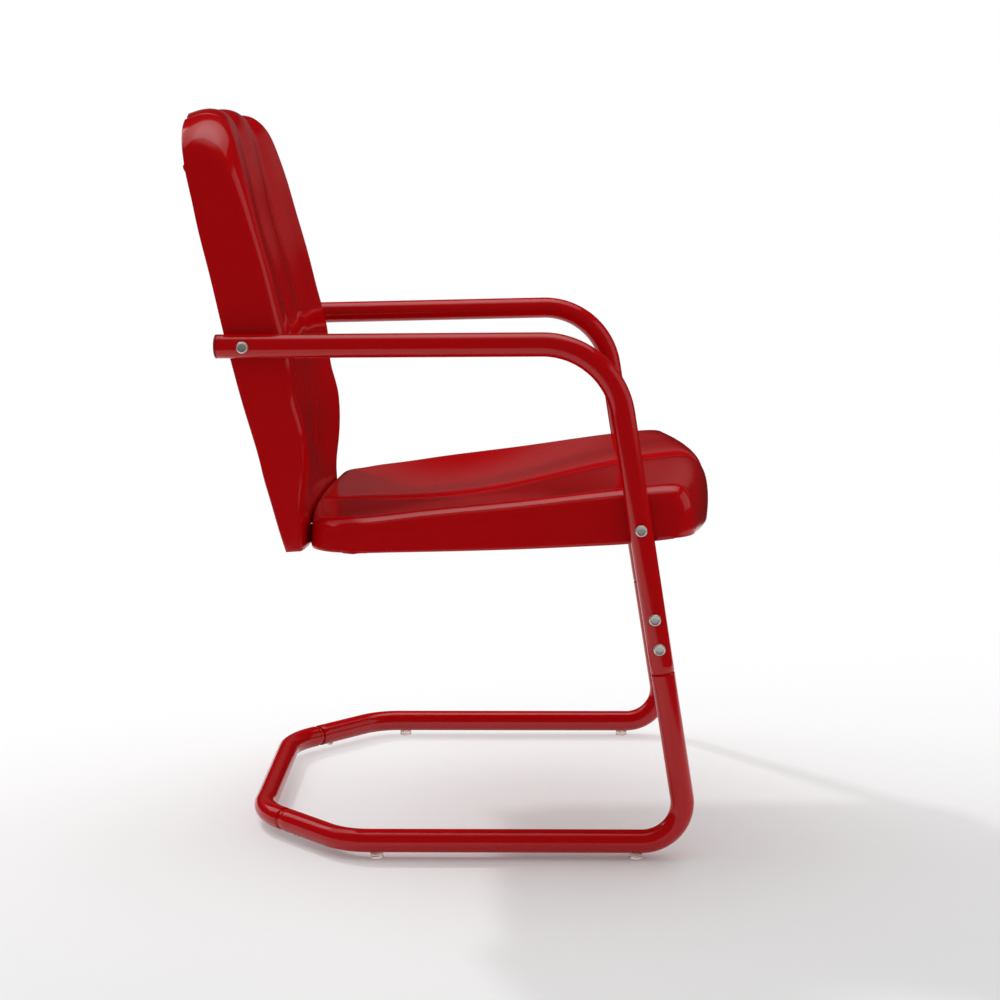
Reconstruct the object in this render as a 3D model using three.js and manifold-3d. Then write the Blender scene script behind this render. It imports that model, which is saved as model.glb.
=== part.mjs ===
// Retro metal lawn chair: a pressed steel seat and back carried by a sprung tube frame.
// Millimetres, +Z up. The sitter faces -Y, and right and left are the sitter's own.

import * as THREE from 'three';
import { mergeVertices } from 'three/addons/utils/BufferGeometryUtils.js';
import Module from 'manifold-3d';

const wasm = await Module();
wasm.setup();

// Frame tube and sheet metal
const tubeDiameter = 27;
const tubeWall = 1.5;
const sheetThickness = 1.5;
const fitGap = 0.3;

// Side frames. Forward lengths run from a datum below the middle of the seat.
const footForward = 206;
const legLean = THREE.MathUtils.degToRad(8.9);
const armHeight = 591;
const armSlope = THREE.MathUtils.degToRad(0.68);
const armTail = 31;
const armBendRadius = 90;
const footBendRadius = 46;
const legJointHeight = 220;
const legJointOverlap = 92;

// Floor rails and the cross tube behind
const railForward = -189;
const railInwardAngle = THREE.MathUtils.degToRad(45);
const railBendRadius = 69;
const crossForward = -298;
const crossBendRadius = 86;
const crossJointLength = 45;
const crossJointGap = 5;
const crossJointSetback = 8;
const shoulderLength = 2.5;

// Glides
const glideHeight = 6.3;
const glideDiameter = 15;
const glideRim = 1;
const glideStemDiameter = 5;
const glideStemLength = 5;
const glideFrontForward = 145.5;
const glideRearForward = -152;

// Back shell. Its width is taken at the arm bolts.
const backWidth = 412;
const backFoot = 348;
const backTop = 844.5;
const backFootForward = -231.5;
const backRake = 138;
const backBow = 27;
const backCornerRadius = 53;
const backCrestAngle = THREE.MathUtils.degToRad(25);
const backPleatDepth = 7.7;
const backCrestRise = 7.7;
const backValleyDepth = 7;

// Seat shell. Its width is taken at the leg bolts.
const seatWidth = 482;
const seatLength = 442.3;
const seatSkirt = 81.5;
const seatBottom = 348.5;
const seatTaper = THREE.MathUtils.degToRad(5);
const seatBow = 26;
const seatDish = 17.5;
const seatCornerRadius = 48;
const seatGrooveDepth = 4.5;
const seatGrooveWidth = 22;
const seatBackOffset = 2;

// Bolts, nuts and screws. The bolts between seat and back are a share of the seat's width apart.
const boltDiameter = 6;
const boltHeadDiameter = 13.4;
const boltHeadHeight = 3.6;
const boltDishShare = 0.67;
const boltDishDepth = 0.8;
const boltEnd = 2;
const socketWidth = 4;
const socketDepth = 2.2;
const nutWidth = 10;
const nutHeight = 5;
const backBoltForward = -294.5;
const seatBoltHeight = 384;
const legBoltHeights = { upper: 282.5, lower: 248.5 };
const seatBackBoltShare = 0.44;
const seatBackBoltHeight = 361;
const screwDiameter = 4;
const screwHeadDiameter = 8;
const screwHeadHeight = 2.4;
const screwSetback = 18;

// Arm end plugs
const plugDisc = 2.5;
const plugSpigot = 14;

// Cutters run past what they cut
const overrun = 1;

// Facets
const tubeArcPoints = 8;
const boltFacets = 12;
const bendStep = THREE.MathUtils.degToRad(11.5);
const rollSteps = 4;
const mergeTolerance = 1e-3;

const enamel = new THREE.MeshStandardMaterial({ color: 0xa30d18, roughness: 0.18, metalness: 0 });
const zinc = new THREE.MeshStandardMaterial({ color: 0xc9c8c4, roughness: 0.3, metalness: 1 });
const clearPlastic = new THREE.MeshStandardMaterial({
  color: 0xe8e6e2, roughness: 0.2, metalness: 0, transparent: true, opacity: 0.6,
});
const redPlastic = new THREE.MeshStandardMaterial({ color: 0x9a0f1a, roughness: 0.4, metalness: 0 });

// Rows of the back's side, from the rear of its top flange down to its foot. Shares of:
// rake and height of the front ridge, rake and height of the rear edge, width, bow, corner
// width, corner depth, pleat depth, rise of the two inner lobes and depth of the side valley.
const backRowShares = [
  [1, 0.9851, 0.936, 0.878, 1, 0.3, 1.19, 1, 1, 1, 0],
  [0.822, 0.9982, 0.933, 0.874, 1, 0.33, 1.18, 1, 1, 0.92, 0],
  [0.717, 0.9934, 0.93, 0.87, 1, 0.36, 1.15, 1, 1, 0.75, 0],
  [0.649, 0.9807, 0.923, 0.86, 1, 0.43, 1.08, 0.93, 0.96, 0.65, 0],
  [0.58, 0.9547, 0.913, 0.846, 1, 0.5, 0.96, 0.74, 0.9, 0.5, 0],
  [0.513, 0.9096, 0.898, 0.826, 1, 0.56, 0.84, 0.45, 0.84, 0.35, 0],
  [0.417, 0.828, 0.871, 0.788, 1, 0.6, 0.83, 0.22, 0.8, 0.15, 0],
  [0.341, 0.749, 0.834, 0.735, 1, 0.62, 0.83, 0.17, 0.8, 0, 0],
  [0.247, 0.645, 0.751, 0.636, 1, 0.62, 0.83, 0.15, 0.8, 0, 0.05],
  [0.153, 0.532, 0.661, 0.52, 1, 0.62, 0.83, 0.15, 0.8, 0, 0.25],
  [0.079, 0.441, 0.583, 0.429, 1, 0.63, 0.83, 0.15, 0.8, 0, 0.45],
  [0.038, 0.346, 0.501, 0.336, 0.99, 0.68, 0.8, 0.15, 0.8, 0, 0.7],
  [-0.017, 0.286, 0.436, 0.27, 0.98, 0.8, 0.76, 0.15, 0.78, 0, 0.88],
  [-0.035, 0.234, 0.385, 0.216, 0.975, 0.93, 0.72, 0.15, 0.7, 0, 1],
  [-0.035, 0.185, 0.347, 0.167, 0.97, 1, 0.7, 0.15, 0.58, 0, 1],
  [-0.017, 0.141, 0.305, 0.123, 0.965, 0.88, 0.72, 0.15, 0.42, 0, 0.75],
  [0.007, 0.097, 0.264, 0.079, 0.96, 0.6, 0.78, 0.15, 0.22, 0, 0.35],
  [0, 0.044, 0.214, 0.028, 0.955, 0.32, 0.84, 0.14, 0.05, 0, 0],
  [0, 0, 0.179, -0.004, 0.95, 0.32, 0.86, 0.14, 0, 0, 0],
];

// Rows of the seat's side, from the foot of its rear flange to the foot of its front one.
// Shares of: length and skirt of the upper ridge, length and skirt of the lower edge, bow,
// dish, corner radius and groove depth.
const seatRowShares = [
  [0, 0, 0.121, 0, -0.392, 0, 0.938, 0],
  [0, 0.141, 0.124, 0, -0.392, 0, 0.938, 0],
  [0.002, 0.252, 0.129, 0, -0.385, 0, 0.938, 0],
  [0.007, 0.356, 0.135, 0, -0.358, 0.086, 0.938, 0.3],
  [0.023, 0.415, 0.144, 0, -0.288, 0.314, 0.896, 0.7],
  [0.055, 0.443, 0.159, 0, -0.154, 0.457, 0.812, 1],
  [0.107, 0.469, 0.187, 0.006, -0.058, 0.531, 0.708, 1],
  [0.18, 0.51, 0.229, 0.015, 0, 0.703, 0.625, 1],
  [0.302, 0.595, 0.311, 0.031, 0, 0.971, 0.604, 1],
  [0.422, 0.669, 0.422, 0.055, 0, 1, 0.604, 1],
  [0.541, 0.742, 0.537, 0.085, 0, 0.8, 0.604, 1],
  [0.664, 0.828, 0.65, 0.121, 0.038, 0.457, 0.604, 1],
  [0.781, 0.91, 0.763, 0.161, 0.077, 0.171, 0.604, 1.1],
  [0.872, 0.967, 0.835, 0.19, 0.2, 0, 0.625, 1.3],
  [0.933, 0.994, 0.863, 0.209, 0.45, -0.1, 0.708, 1.5],
  [0.96, 0.975, 0.874, 0.218, 0.76, -0.2, 0.833, 1.5],
  [0.979, 0.896, 0.882, 0.227, 0.97, -0.171, 0.927, 1.4],
  [0.992, 0.755, 0.887, 0.233, 1.06, -0.057, 0.979, 1.1],
  [0.999, 0.571, 0.891, 0.239, 1.06, 0.114, 1, 0.7],
  [1.001, 0.399, 0.893, 0.245, 1.03, 0.28, 1, 0.3],
  [1, 0.282, 0.895, 0.252, 1, 0.5, 1, 0],
];

// The outer grooves of the back, and a station line of the seat, as shares of the half width
const backGrooveShare = 0.5;
const seatSpanShare = 0.4;

// Places across half a shell: shares of its inner span and of its outer one
const innerSpanShares = [0, 0.08, 0.25, 0.5, 0.75, 0.92];
const outerSpanShares = [0, 0.12, 0.3, 0.5, 0.75, 1];

// The two inner lobes give way to the outer ones between these shares of the half width
const crestFadeShares = [0.44, 0.56];
const outerCrestShare = 0.75;
const valleySoftness_share = 0.12;

const tubeRadius = tubeDiameter / 2;
const boreRadius = tubeRadius - tubeWall;
const neckStep = tubeWall + fitGap;
const railHeight = glideHeight + tubeRadius;
const legSpacing = seatWidth + tubeDiameter + 2 * fitGap;
const rightAngle = Math.PI / 2;

/** A point given by its side (-1 right, 1 left), distance from the middle, forward and up. */
function place(side, across, forward, up) {
  return new THREE.Vector3(side * across, -forward, up);
}

/** Forward place of a leg's centreline at a height. */
function legForward(height) {
  return footForward - (height - railHeight) * Math.tan(legLean);
}

/** Where the arm's straight line meets the leg's. */
function armCorner(side) {
  return place(side, legSpacing / 2, legForward(armHeight), armHeight);
}

/** The arms draw together towards the back by this much for each unit rearward. */
const armConvergence =
  (legSpacing / 2 - (backWidth / 2 + tubeRadius + fitGap)) / (legForward(armHeight) - backBoltForward);

/** A point on an arm's centreline at a forward place. */
function armPoint(side, forward) {
  const rearward = legForward(armHeight) - forward;
  const across = legSpacing / 2 - rearward * armConvergence;
  return place(side, across, forward, armHeight - rearward * Math.tan(armSlope));
}

/** A route of straight runs and round bends, with a station wherever its tube needs a ring. */
class BentRoute extends THREE.Curve {
  /** corners: {point, radius}, where a corner without a radius is a plain station. */
  constructor(corners) {
    super();
    this.stations = corners.flatMap((corner, index) => bendStations(corners, index, corner));
  }

  station(share) {
    return this.stations[Math.round(share * (this.stations.length - 1))];
  }

  getPointAt(share, target = new THREE.Vector3()) {
    return target.copy(this.station(share).point);
  }

  getTangentAt(share, target = new THREE.Vector3()) {
    return target.copy(this.station(share).tangent);
  }
}

/** The stations that one corner gives its route. */
function bendStations(corners, index, { point, radius }) {
  const before = corners[Math.max(index - 1, 0)].point;
  const after = corners[Math.min(index + 1, corners.length - 1)].point;
  if (!radius) return [{ point, tangent: after.clone().sub(before).normalize() }];
  const inward = point.clone().sub(before).normalize();
  const outward = after.clone().sub(point).normalize();
  const turn = inward.angleTo(outward);
  const toCentre = outward.clone().sub(inward).normalize();
  const centre = point.clone().addScaledVector(toCentre, radius / Math.cos(turn / 2));
  const start = point.clone().addScaledVector(inward, -radius * Math.tan(turn / 2));
  const axis = inward.clone().cross(outward).normalize();
  const steps = Math.ceil(turn / bendStep);
  return Array.from({ length: steps + 1 }, (_, step) => {
    const angle = (turn * step) / steps;
    return {
      point: start.clone().sub(centre).applyAxisAngle(axis, angle).add(centre),
      tangent: inward.clone().applyAxisAngle(axis, angle),
    };
  });
}

/** A hollow round tube along a route. */
function tubeGeometry(route) {
  const section = new THREE.Shape().absarc(0, 0, tubeRadius, 0, 2 * Math.PI);
  section.holes.push(new THREE.Path().absarc(0, 0, boreRadius, 0, 2 * Math.PI, true));
  return new THREE.ExtrudeGeometry(section, {
    steps: route.stations.length - 1,
    extrudePath: route,
    curveSegments: tubeArcPoints,
  });
}

/** Swages a tube's end down, so that it fits inside another tube. */
function swageEnd(geometry, end, inwards, length) {
  const position = geometry.getAttribute('position');
  const vertex = new THREE.Vector3();
  for (let index = 0; index < position.count; index++) {
    vertex.fromBufferAttribute(position, index).sub(end);
    const along = vertex.dot(inwards);
    vertex.addScaledVector(inwards, -along);
    if (along > length + fitGap || vertex.length() > tubeDiameter) continue;
    vertex.setLength(vertex.length() - neckStep);
    vertex.addScaledVector(inwards, along).add(end);
    position.setXYZ(index, vertex.x, vertex.y, vertex.z);
  }
  return geometry;
}

/** A closed geometry as a solid that can be cut. */
function toSolid(geometry) {
  const bare = new THREE.BufferGeometry();
  bare.setAttribute('position', geometry.getAttribute('position'));
  bare.setIndex(geometry.getIndex());
  const merged = mergeVertices(bare, mergeTolerance);
  return new wasm.Manifold(new wasm.Mesh({
    numProp: 3,
    vertProperties: new Float32Array(merged.getAttribute('position').array),
    triVerts: new Uint32Array(merged.index.array),
  }));
}

/** A solid as a geometry that can be shown. */
function toGeometry(solid) {
  const { vertProperties, triVerts } = solid.getMesh();
  const geometry = new THREE.BufferGeometry();
  geometry.setAttribute('position', new THREE.BufferAttribute(vertProperties, 3));
  geometry.setIndex(new THREE.BufferAttribute(triVerts, 1));
  geometry.computeVertexNormals();
  return geometry;
}

/** Turns a geometry made along +Z to point along a direction from a start. */
function orient(geometry, start, direction) {
  const turn = new THREE.Quaternion().setFromUnitVectors(new THREE.Vector3(0, 0, 1), direction);
  return geometry.applyQuaternion(turn).translate(start.x, start.y, start.z);
}

/** A round cutter from a start along a direction. */
function holeCutter({ start, direction, diameter, length }) {
  const cylinder = new THREE.CylinderGeometry(diameter / 2, diameter / 2, length, boltFacets);
  cylinder.rotateX(rightAngle).translate(0, 0, length / 2);
  return toSolid(orient(cylinder, start, direction));
}

/** A geometry with round holes drilled in it. */
function drill(geometry, holes) {
  return toGeometry(holes.reduce((solid, hole) => solid.subtract(holeCutter(hole)), toSolid(geometry)));
}

/** A hole right through a tube, given the bolt's axis where it crosses the centreline. */
function crossHole({ centre, outward }) {
  const reach = tubeRadius + overrun;
  return {
    start: centre.clone().addScaledVector(outward, -reach),
    direction: outward,
    diameter: boltDiameter + 2 * fitGap,
    length: 2 * reach,
  };
}

/** A hole in the wall beside a tube, for the same bolt. */
function wallHole({ centre, outward }) {
  const near = tubeRadius - overrun;
  return {
    start: centre.clone().addScaledVector(outward, -near),
    direction: outward.clone().negate(),
    diameter: boltDiameter + 2 * fitGap,
    length: tubeDiameter,
  };
}

/** A hole in a tube's lower wall only. */
function lowerHole(centre, diameter) {
  return { start: centre, direction: place(1, 0, 0, -1), diameter, length: tubeDiameter };
}

/** The direction square to an arm and away from the chair's middle. */
function armOutward(side) {
  return place(side, 1, armConvergence * -1, 0).normalize();
}

/** Where each bolt crosses its tube's centreline, and which way its head faces. */
function boltPlaces(side) {
  const straight = place(side, 1, 0, 0);
  const onLeg = (height) => place(side, legSpacing / 2, legForward(height), height);
  return {
    back: { centre: armPoint(side, backBoltForward), outward: armOutward(side) },
    seat: { centre: onLeg(seatBoltHeight), outward: straight },
    legUpper: { centre: onLeg(legBoltHeights.upper), outward: straight },
    legLower: { centre: onLeg(legBoltHeights.lower), outward: straight },
  };
}

/** The arm and the upper leg, bent from one tube. */
function armTube(side) {
  const route = new BentRoute([
    { point: armPoint(side, backBoltForward - armTail) },
    { point: armCorner(side), radius: armBendRadius },
    { point: place(side, legSpacing / 2, legForward(legJointHeight), legJointHeight) },
  ]);
  return drill(tubeGeometry(route), Object.values(boltPlaces(side)).map(crossHole));
}

/** Plan route of one floor rail's inward run: a point so far behind its corner. */
function railRun(side, length) {
  return place(
    side,
    legSpacing / 2 - length * Math.sin(railInwardAngle),
    railForward - length * Math.cos(railInwardAngle),
    railHeight,
  );
}

/** Length of the inward run from its corner to the cross tube's own corner. */
const railRunLength = (railForward - crossForward) / Math.cos(railInwardAngle);

/** Length of the inward run to the floor rail's rear end. */
const railEnd =
  railRunLength - crossBendRadius * Math.tan(railInwardAngle / 2) - crossJointSetback - crossJointGap;

/** The lower leg, the spring bend at the floor and the floor rail, bent from one tube. */
function baseTube(side) {
  const neckTop = legJointHeight + legJointOverlap * Math.cos(legLean);
  const jointHeight = legJointHeight - fitGap;
  const onLeg = (height) => place(side, legSpacing / 2, legForward(height), height);
  const route = new BentRoute([
    { point: onLeg(neckTop) },
    { point: onLeg(jointHeight) },
    { point: onLeg(jointHeight - shoulderLength) },
    { point: onLeg(railHeight), radius: footBendRadius },
    { point: railRun(side, 0), radius: railBendRadius },
    { point: railRun(side, railEnd) },
  ]);
  const down = onLeg(railHeight).sub(onLeg(neckTop)).normalize();
  const neckLength = onLeg(neckTop).distanceTo(onLeg(jointHeight));
  const swaged = swageEnd(tubeGeometry(route), onLeg(neckTop), down, neckLength);
  const { legUpper, legLower } = boltPlaces(side);
  const glideHoles = [glideFrontForward, glideRearForward].map((forward) =>
    lowerHole(place(side, legSpacing / 2, forward, railHeight), glideStemDiameter + 2 * fitGap));
  return drill(swaged, [
    crossHole(legUpper),
    crossHole(legLower),
    lowerHole(railRun(side, railEnd - screwSetback), screwDiameter + 2 * fitGap),
    ...glideHoles,
  ]);
}

/** The tube that joins the floor rails behind, with both ends swaged into them. */
function rearCrossTube() {
  const neckStart = railEnd - crossJointLength;
  const neckEnd = railEnd + crossJointGap;
  const halfRoute = (side) => [
    { point: railRun(side, neckStart) },
    { point: railRun(side, neckEnd) },
    { point: railRun(side, neckEnd + shoulderLength) },
    { point: railRun(side, railRunLength), radius: crossBendRadius },
  ];
  const route = new BentRoute([...halfRoute(-1), ...halfRoute(1).reverse()]);
  const sides = [-1, 1];
  const swaged = sides.reduce((geometry, side) => {
    const inwards = railRun(side, neckEnd).sub(railRun(side, neckStart)).normalize();
    return swageEnd(geometry, railRun(side, neckStart), inwards, neckEnd - neckStart);
  }, tubeGeometry(route));
  return drill(swaged, sides.map((side) =>
    lowerHole(railRun(side, railEnd - screwSetback), screwDiameter + 2 * fitGap)));
}

/** A value between two others. */
const mix = THREE.MathUtils.lerp;

/** A row of the back's shares as real sizes. */
function backRow([ridgeRake, ridgeHeight, edgeRake, edgeHeight, width, bow, ...shape]) {
  const [cornerWidth, cornerDepth, pleat, rise, valley] = shape;
  const at = (rake, height) =>
    new THREE.Vector2(backFootForward - rake * backRake, mix(backFoot, backTop, height));
  const half = (forward) =>
    (width * backWidth) / 2 + (forward - backBoltForward) * armConvergence;
  return {
    ridge: at(ridgeRake, ridgeHeight),
    edge: at(edgeRake, edgeHeight),
    half,
    middle: new THREE.Vector2(-bow * backBow, 0),
    cornerWidth: cornerWidth * backCornerRadius,
    cornerDepth: cornerDepth * backCornerRadius,
    rollStart: backCrestAngle,
    relief: (share, outer) => backRelief(share, outer, { pleat, rise, valley }),
  };
}

/** Height of the back's lobes over its plain face, at a share of the half width. */
function backRelief(share, outer, { pleat, rise, valley }) {
  const wave = Math.abs(Math.sin(2 * Math.PI * share));
  const lobe = Math.min(Math.hypot(wave, valleySoftness_share), 1);
  const [from, to] = crestFadeShares;
  const inner = 1 - THREE.MathUtils.smoothstep(share, from, to);
  const groove = share > outerCrestShare ? 0 : (1 - lobe) * pleat * backPleatDepth;
  const side = Math.sin(Math.PI * outer) * valley * backValleyDepth;
  return inner * rise * backCrestRise - groove - side;
}

/** A row of the seat's shares as real sizes. */
function seatRow([ridgeLength, ridgeSkirt, edgeLength, edgeSkirt, bow, dish, corner, groove]) {
  const rear = backFootForward + seatBackOffset;
  const at = (length, skirt) =>
    new THREE.Vector2(rear + length * seatLength, seatBottom + skirt * seatSkirt);
  const full = legForward(seatBoltHeight) - tubeDiameter;
  return {
    ridge: at(ridgeLength, ridgeSkirt),
    edge: at(edgeLength, edgeSkirt),
    half: (forward) => seatWidth / 2 - Math.max(full - forward, 0) * Math.tan(seatTaper),
    middle: new THREE.Vector2(bow * seatBow, -dish * seatDish),
    cornerWidth: corner * seatCornerRadius,
    cornerDepth: corner * seatCornerRadius,
    rollStart: 0,
    relief: (share) =>
      -groove * seatGrooveDepth * Math.exp((-share * seatWidth) / seatGrooveWidth),
  };
}

/** The columns of half a shell: across the face, round the roll and down the flange. */
function shellColumns(valleyShare) {
  const inner = innerSpanShares.map((span) => ({ inner: span }));
  const outer = outerSpanShares.map((span) => ({ outer: span }));
  const roll = Array.from({ length: rollSteps }, (_, step) =>
    ({ roll: (step + 1) / rollSteps }));
  return { valleyShare, columns: [...inner, ...outer, ...roll, { flange: 1 }] };
}

/** How far out and down a roll has come at an angle, when it leaves the face at another. */
function rollShares(start, angle) {
  return {
    out: (Math.sin(angle) - Math.sin(start)) / (1 - Math.sin(start)),
    down: (Math.cos(start) - Math.cos(angle)) / Math.cos(start),
  };
}

/** One point of a shell's outer skin. */
function skinPoint(row, column, valleyShare, side) {
  const { ridge, edge, half, cornerWidth, cornerDepth, rollStart } = row;
  if (column.flange) return place(side, half(edge.x), edge.x, edge.y);
  const drop = edge.clone().sub(ridge).normalize();
  const fullHalf = half(ridge.x + drop.x * cornerDepth);
  const faceHalf = fullHalf - cornerWidth;
  const at = ridge.clone();
  if (column.roll) {
    const { out, down } = rollShares(rollStart, mix(rollStart, rightAngle, column.roll));
    at.addScaledVector(drop, cornerDepth * down);
    return place(side, faceHalf + cornerWidth * out, at.x, at.y);
  }
  const { inner = 1, outer = 0 } = column;
  const across = mix(inner * valleyShare * fullHalf, faceHalf, outer);
  at.addScaledVector(row.middle, 1 - (across / faceHalf) ** 2);
  at.addScaledVector(drop, -row.relief(across / fullHalf, outer));
  return place(side, across, at.x, at.y);
}

/** One row of a shell's outer skin, from its right flange across to its left one. */
function skinRow(row, { valleyShare, columns }) {
  const half = (side) => columns.map((column) => skinPoint(row, column, valleyShare, side));
  return [...half(-1).reverse(), ...half(1).slice(1)];
}

/** The two triangles of a quad. */
function quad(a, b, c, d) {
  return [a, b, c, a, c, d];
}

/** A pressed sheet: a skin given row by row, its other skin a sheet's thickness behind. */
function sheetGeometry(rows) {
  const width = rows[0].length;
  const count = rows.length * width;
  const at = (row, column) => row * width + column;
  const faces = [];
  for (let row = 1; row < rows.length; row++) {
    for (let column = 1; column < width; column++) {
      faces.push([at(row - 1, column - 1), at(row, column - 1), at(row, column), at(row - 1, column)]);
    }
  }
  const skin = new THREE.BufferGeometry().setFromPoints(rows.flat());
  skin.setIndex(faces.flatMap((face) => quad(...face)));
  skin.computeVertexNormals();
  const normals = skin.getAttribute('normal');
  const behind = rows.flat().map((point, index) => {
    const normal = new THREE.Vector3().fromBufferAttribute(normals, index);
    return point.clone().addScaledVector(normal, -sheetThickness);
  });
  const rim = sheetRim(rows.length, width, at);
  const sheet = new THREE.BufferGeometry().setFromPoints([...rows.flat(), ...behind]);
  sheet.setIndex([
    ...faces.flatMap((face) => quad(...face)),
    ...faces.flatMap((face) => quad(...face.map((vertex) => vertex + count).reverse())),
    ...rim.flatMap((vertex, index) => {
      const next = rim[(index + 1) % rim.length];
      return quad(vertex, vertex + count, next + count, next);
    }),
  ]);
  return sheet;
}

/** The vertices round a sheet's rim, in the order its skin's faces turn. */
function sheetRim(rows, width, at) {
  const down = Array.from({ length: rows - 1 }, (_, row) => at(row, 0));
  const along = Array.from({ length: width - 1 }, (_, column) => at(rows - 1, column));
  const up = Array.from({ length: rows - 1 }, (_, row) => at(rows - 1 - row, width - 1));
  const home = Array.from({ length: width - 1 }, (_, column) => at(0, width - 1 - column));
  return [...down, ...along, ...up, ...home];
}

/** A pressed sheet shell through its rows. */
function shellGeometry(rows, columns) {
  return sheetGeometry(rows.map((row) => skinRow(row, columns)));
}

/** Where the back's foot carries a bolt to the seat. */
function seatBackJoint(side) {
  const { ridge, half, cornerWidth, middle } = backRow(backRowShares.at(-2));
  const across = (seatBackBoltShare * seatWidth) / 2;
  const slack = 1 - (across / (half(ridge.x) - cornerWidth)) ** 2;
  return place(side, across, ridge.x + middle.x * slack, seatBackBoltHeight);
}

/** The hole for a bolt between seat and back. */
function seatBackHole(side) {
  return {
    start: seatBackJoint(side).add(place(side, 0, -nutWidth, 0)),
    direction: place(side, 0, 1, 0),
    diameter: boltDiameter + 2 * fitGap,
    length: 2 * nutWidth,
  };
}

/** The pressed back with its four lobes. */
function backShell() {
  const shell = shellGeometry(backRowShares.map(backRow), shellColumns(backGrooveShare));
  const holes = [-1, 1].flatMap((side) => [wallHole(boltPlaces(side).back), seatBackHole(side)]);
  return drill(shell, holes);
}

/** The pressed seat with its centre groove. */
function seatShell() {
  const shell = shellGeometry(seatRowShares.map(seatRow), shellColumns(seatSpanShare));
  const holes = [-1, 1].flatMap((side) => [wallHole(boltPlaces(side).seat), seatBackHole(side)]);
  return drill(shell, holes);
}

/** A lathe profile turned about +Z. */
function turned(profile, facets = boltFacets) {
  const points = profile.map(([radius, height]) => new THREE.Vector2(radius, height));
  return new THREE.LatheGeometry(points, facets).rotateX(rightAngle);
}

/** A round-headed bolt with a hex socket in a dish, its head's seat at the start and its shank behind. */
function boltGeometry({ shank, diameter, headDiameter, headHeight }) {
  const crown = headHeight / 2;
  const dish = (headDiameter / 2) * boltDishShare;
  const body = turned([
    [0, -shank],
    [diameter / 2, -shank],
    [diameter / 2, 0],
    [headDiameter / 2, 0],
    [headDiameter / 2, headHeight - crown],
    [headDiameter / 2 - crown / 2, headHeight - crown / 4],
    [headDiameter / 2 - crown, headHeight],
    [dish, headHeight],
    [dish, headHeight - boltDishDepth],
    [0, headHeight - boltDishDepth],
  ]);
  const socket = new THREE.CylinderGeometry(socketWidth / 2, socketWidth / 2, 2 * socketDepth, 6);
  socket.rotateX(rightAngle).translate(0, 0, headHeight);
  return toGeometry(toSolid(body).subtract(toSolid(socket)));
}

/** Radius of a hex nut over its corners. */
const nutCorner = nutWidth / Math.sqrt(3);

/** A hex nut with its face at the start and its body ahead of it. */
function nutGeometry() {
  const body = new THREE.CylinderGeometry(nutCorner, nutCorner, nutHeight, 6);
  body.rotateX(rightAngle).translate(0, 0, nutHeight / 2);
  const bore = { start: place(1, 0, 0, -overrun), direction: place(1, 0, 0, 1) };
  const boreSize = { diameter: boltDiameter + 2 * fitGap, length: nutHeight + 2 * overrun };
  return drill(body, [{ ...bore, ...boreSize }]);
}

/** A clear glide: a button under the floor rail with a stem pushed into the rail. */
function glideGeometry() {
  const seat = glideHeight - fitGap;
  return turned([
    [0, 0],
    [glideDiameter / 2 - glideRim, 0],
    [glideDiameter / 2, glideRim],
    [glideDiameter / 2, seat - glideRim],
    [glideDiameter / 2 - glideRim, seat],
    [glideStemDiameter / 2, seat],
    [glideStemDiameter / 2, seat + glideStemLength],
    [0, seat + glideStemLength],
  ]);
}

/** The plug in an arm's rear end: a disc outside and a spigot inside. */
function plugGeometry() {
  const edge = plugDisc / 3;
  return turned([
    [0, -plugSpigot],
    [boreRadius - fitGap, -plugSpigot],
    [boreRadius - fitGap, fitGap],
    [tubeRadius, fitGap],
    [tubeRadius, plugDisc - edge],
    [tubeRadius - edge, plugDisc],
    [0, plugDisc],
  ], 2 * tubeArcPoints);
}

const chair = new THREE.Group();

/** Adds a named piece to the chair. */
function addPiece(name, geometry, material) {
  const mesh = new THREE.Mesh(geometry, material);
  mesh.name = name;
  chair.add(mesh);
}

/** Adds a bolt and its nut. Grip runs from the tube's centreline to the nut's seat. */
function addBolt(name, { centre, outward }, grip) {
  const seat = tubeRadius + fitGap;
  const size = { diameter: boltDiameter, headDiameter: boltHeadDiameter, headHeight: boltHeadHeight };
  const bolt = boltGeometry({ shank: seat + grip + nutHeight + boltEnd, ...size });
  const nutSeat = centre.clone().addScaledVector(outward, -grip);
  addPiece(`${name}`, orient(bolt, centre.clone().addScaledVector(outward, seat), outward), zinc);
  const nutName = name.replace('bolt', 'nut');
  addPiece(nutName, orient(nutGeometry(), nutSeat, outward.clone().negate()), zinc);
}

/** How far along a direction from a start a round part of this diameter clears a shell. */
function shellGrip(shell, start, direction, diameter) {
  const spot = holeCutter({ start, direction, diameter: diameter + 2 * fitGap, length: 2 * tubeDiameter });
  const position = toGeometry(toSolid(shell).intersect(spot)).getAttribute('position');
  const depths = Array.from({ length: position.count }, (_, index) =>
    new THREE.Vector3().fromBufferAttribute(position, index).sub(start).dot(direction));
  return Math.max(...depths) + fitGap;
}

/** The grip of a bolt whose nut sits on a shell inside a tube. */
function nutGrip(shell, { centre, outward }) {
  return shellGrip(shell, centre, outward.clone().negate(), 2 * nutCorner);
}

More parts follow.
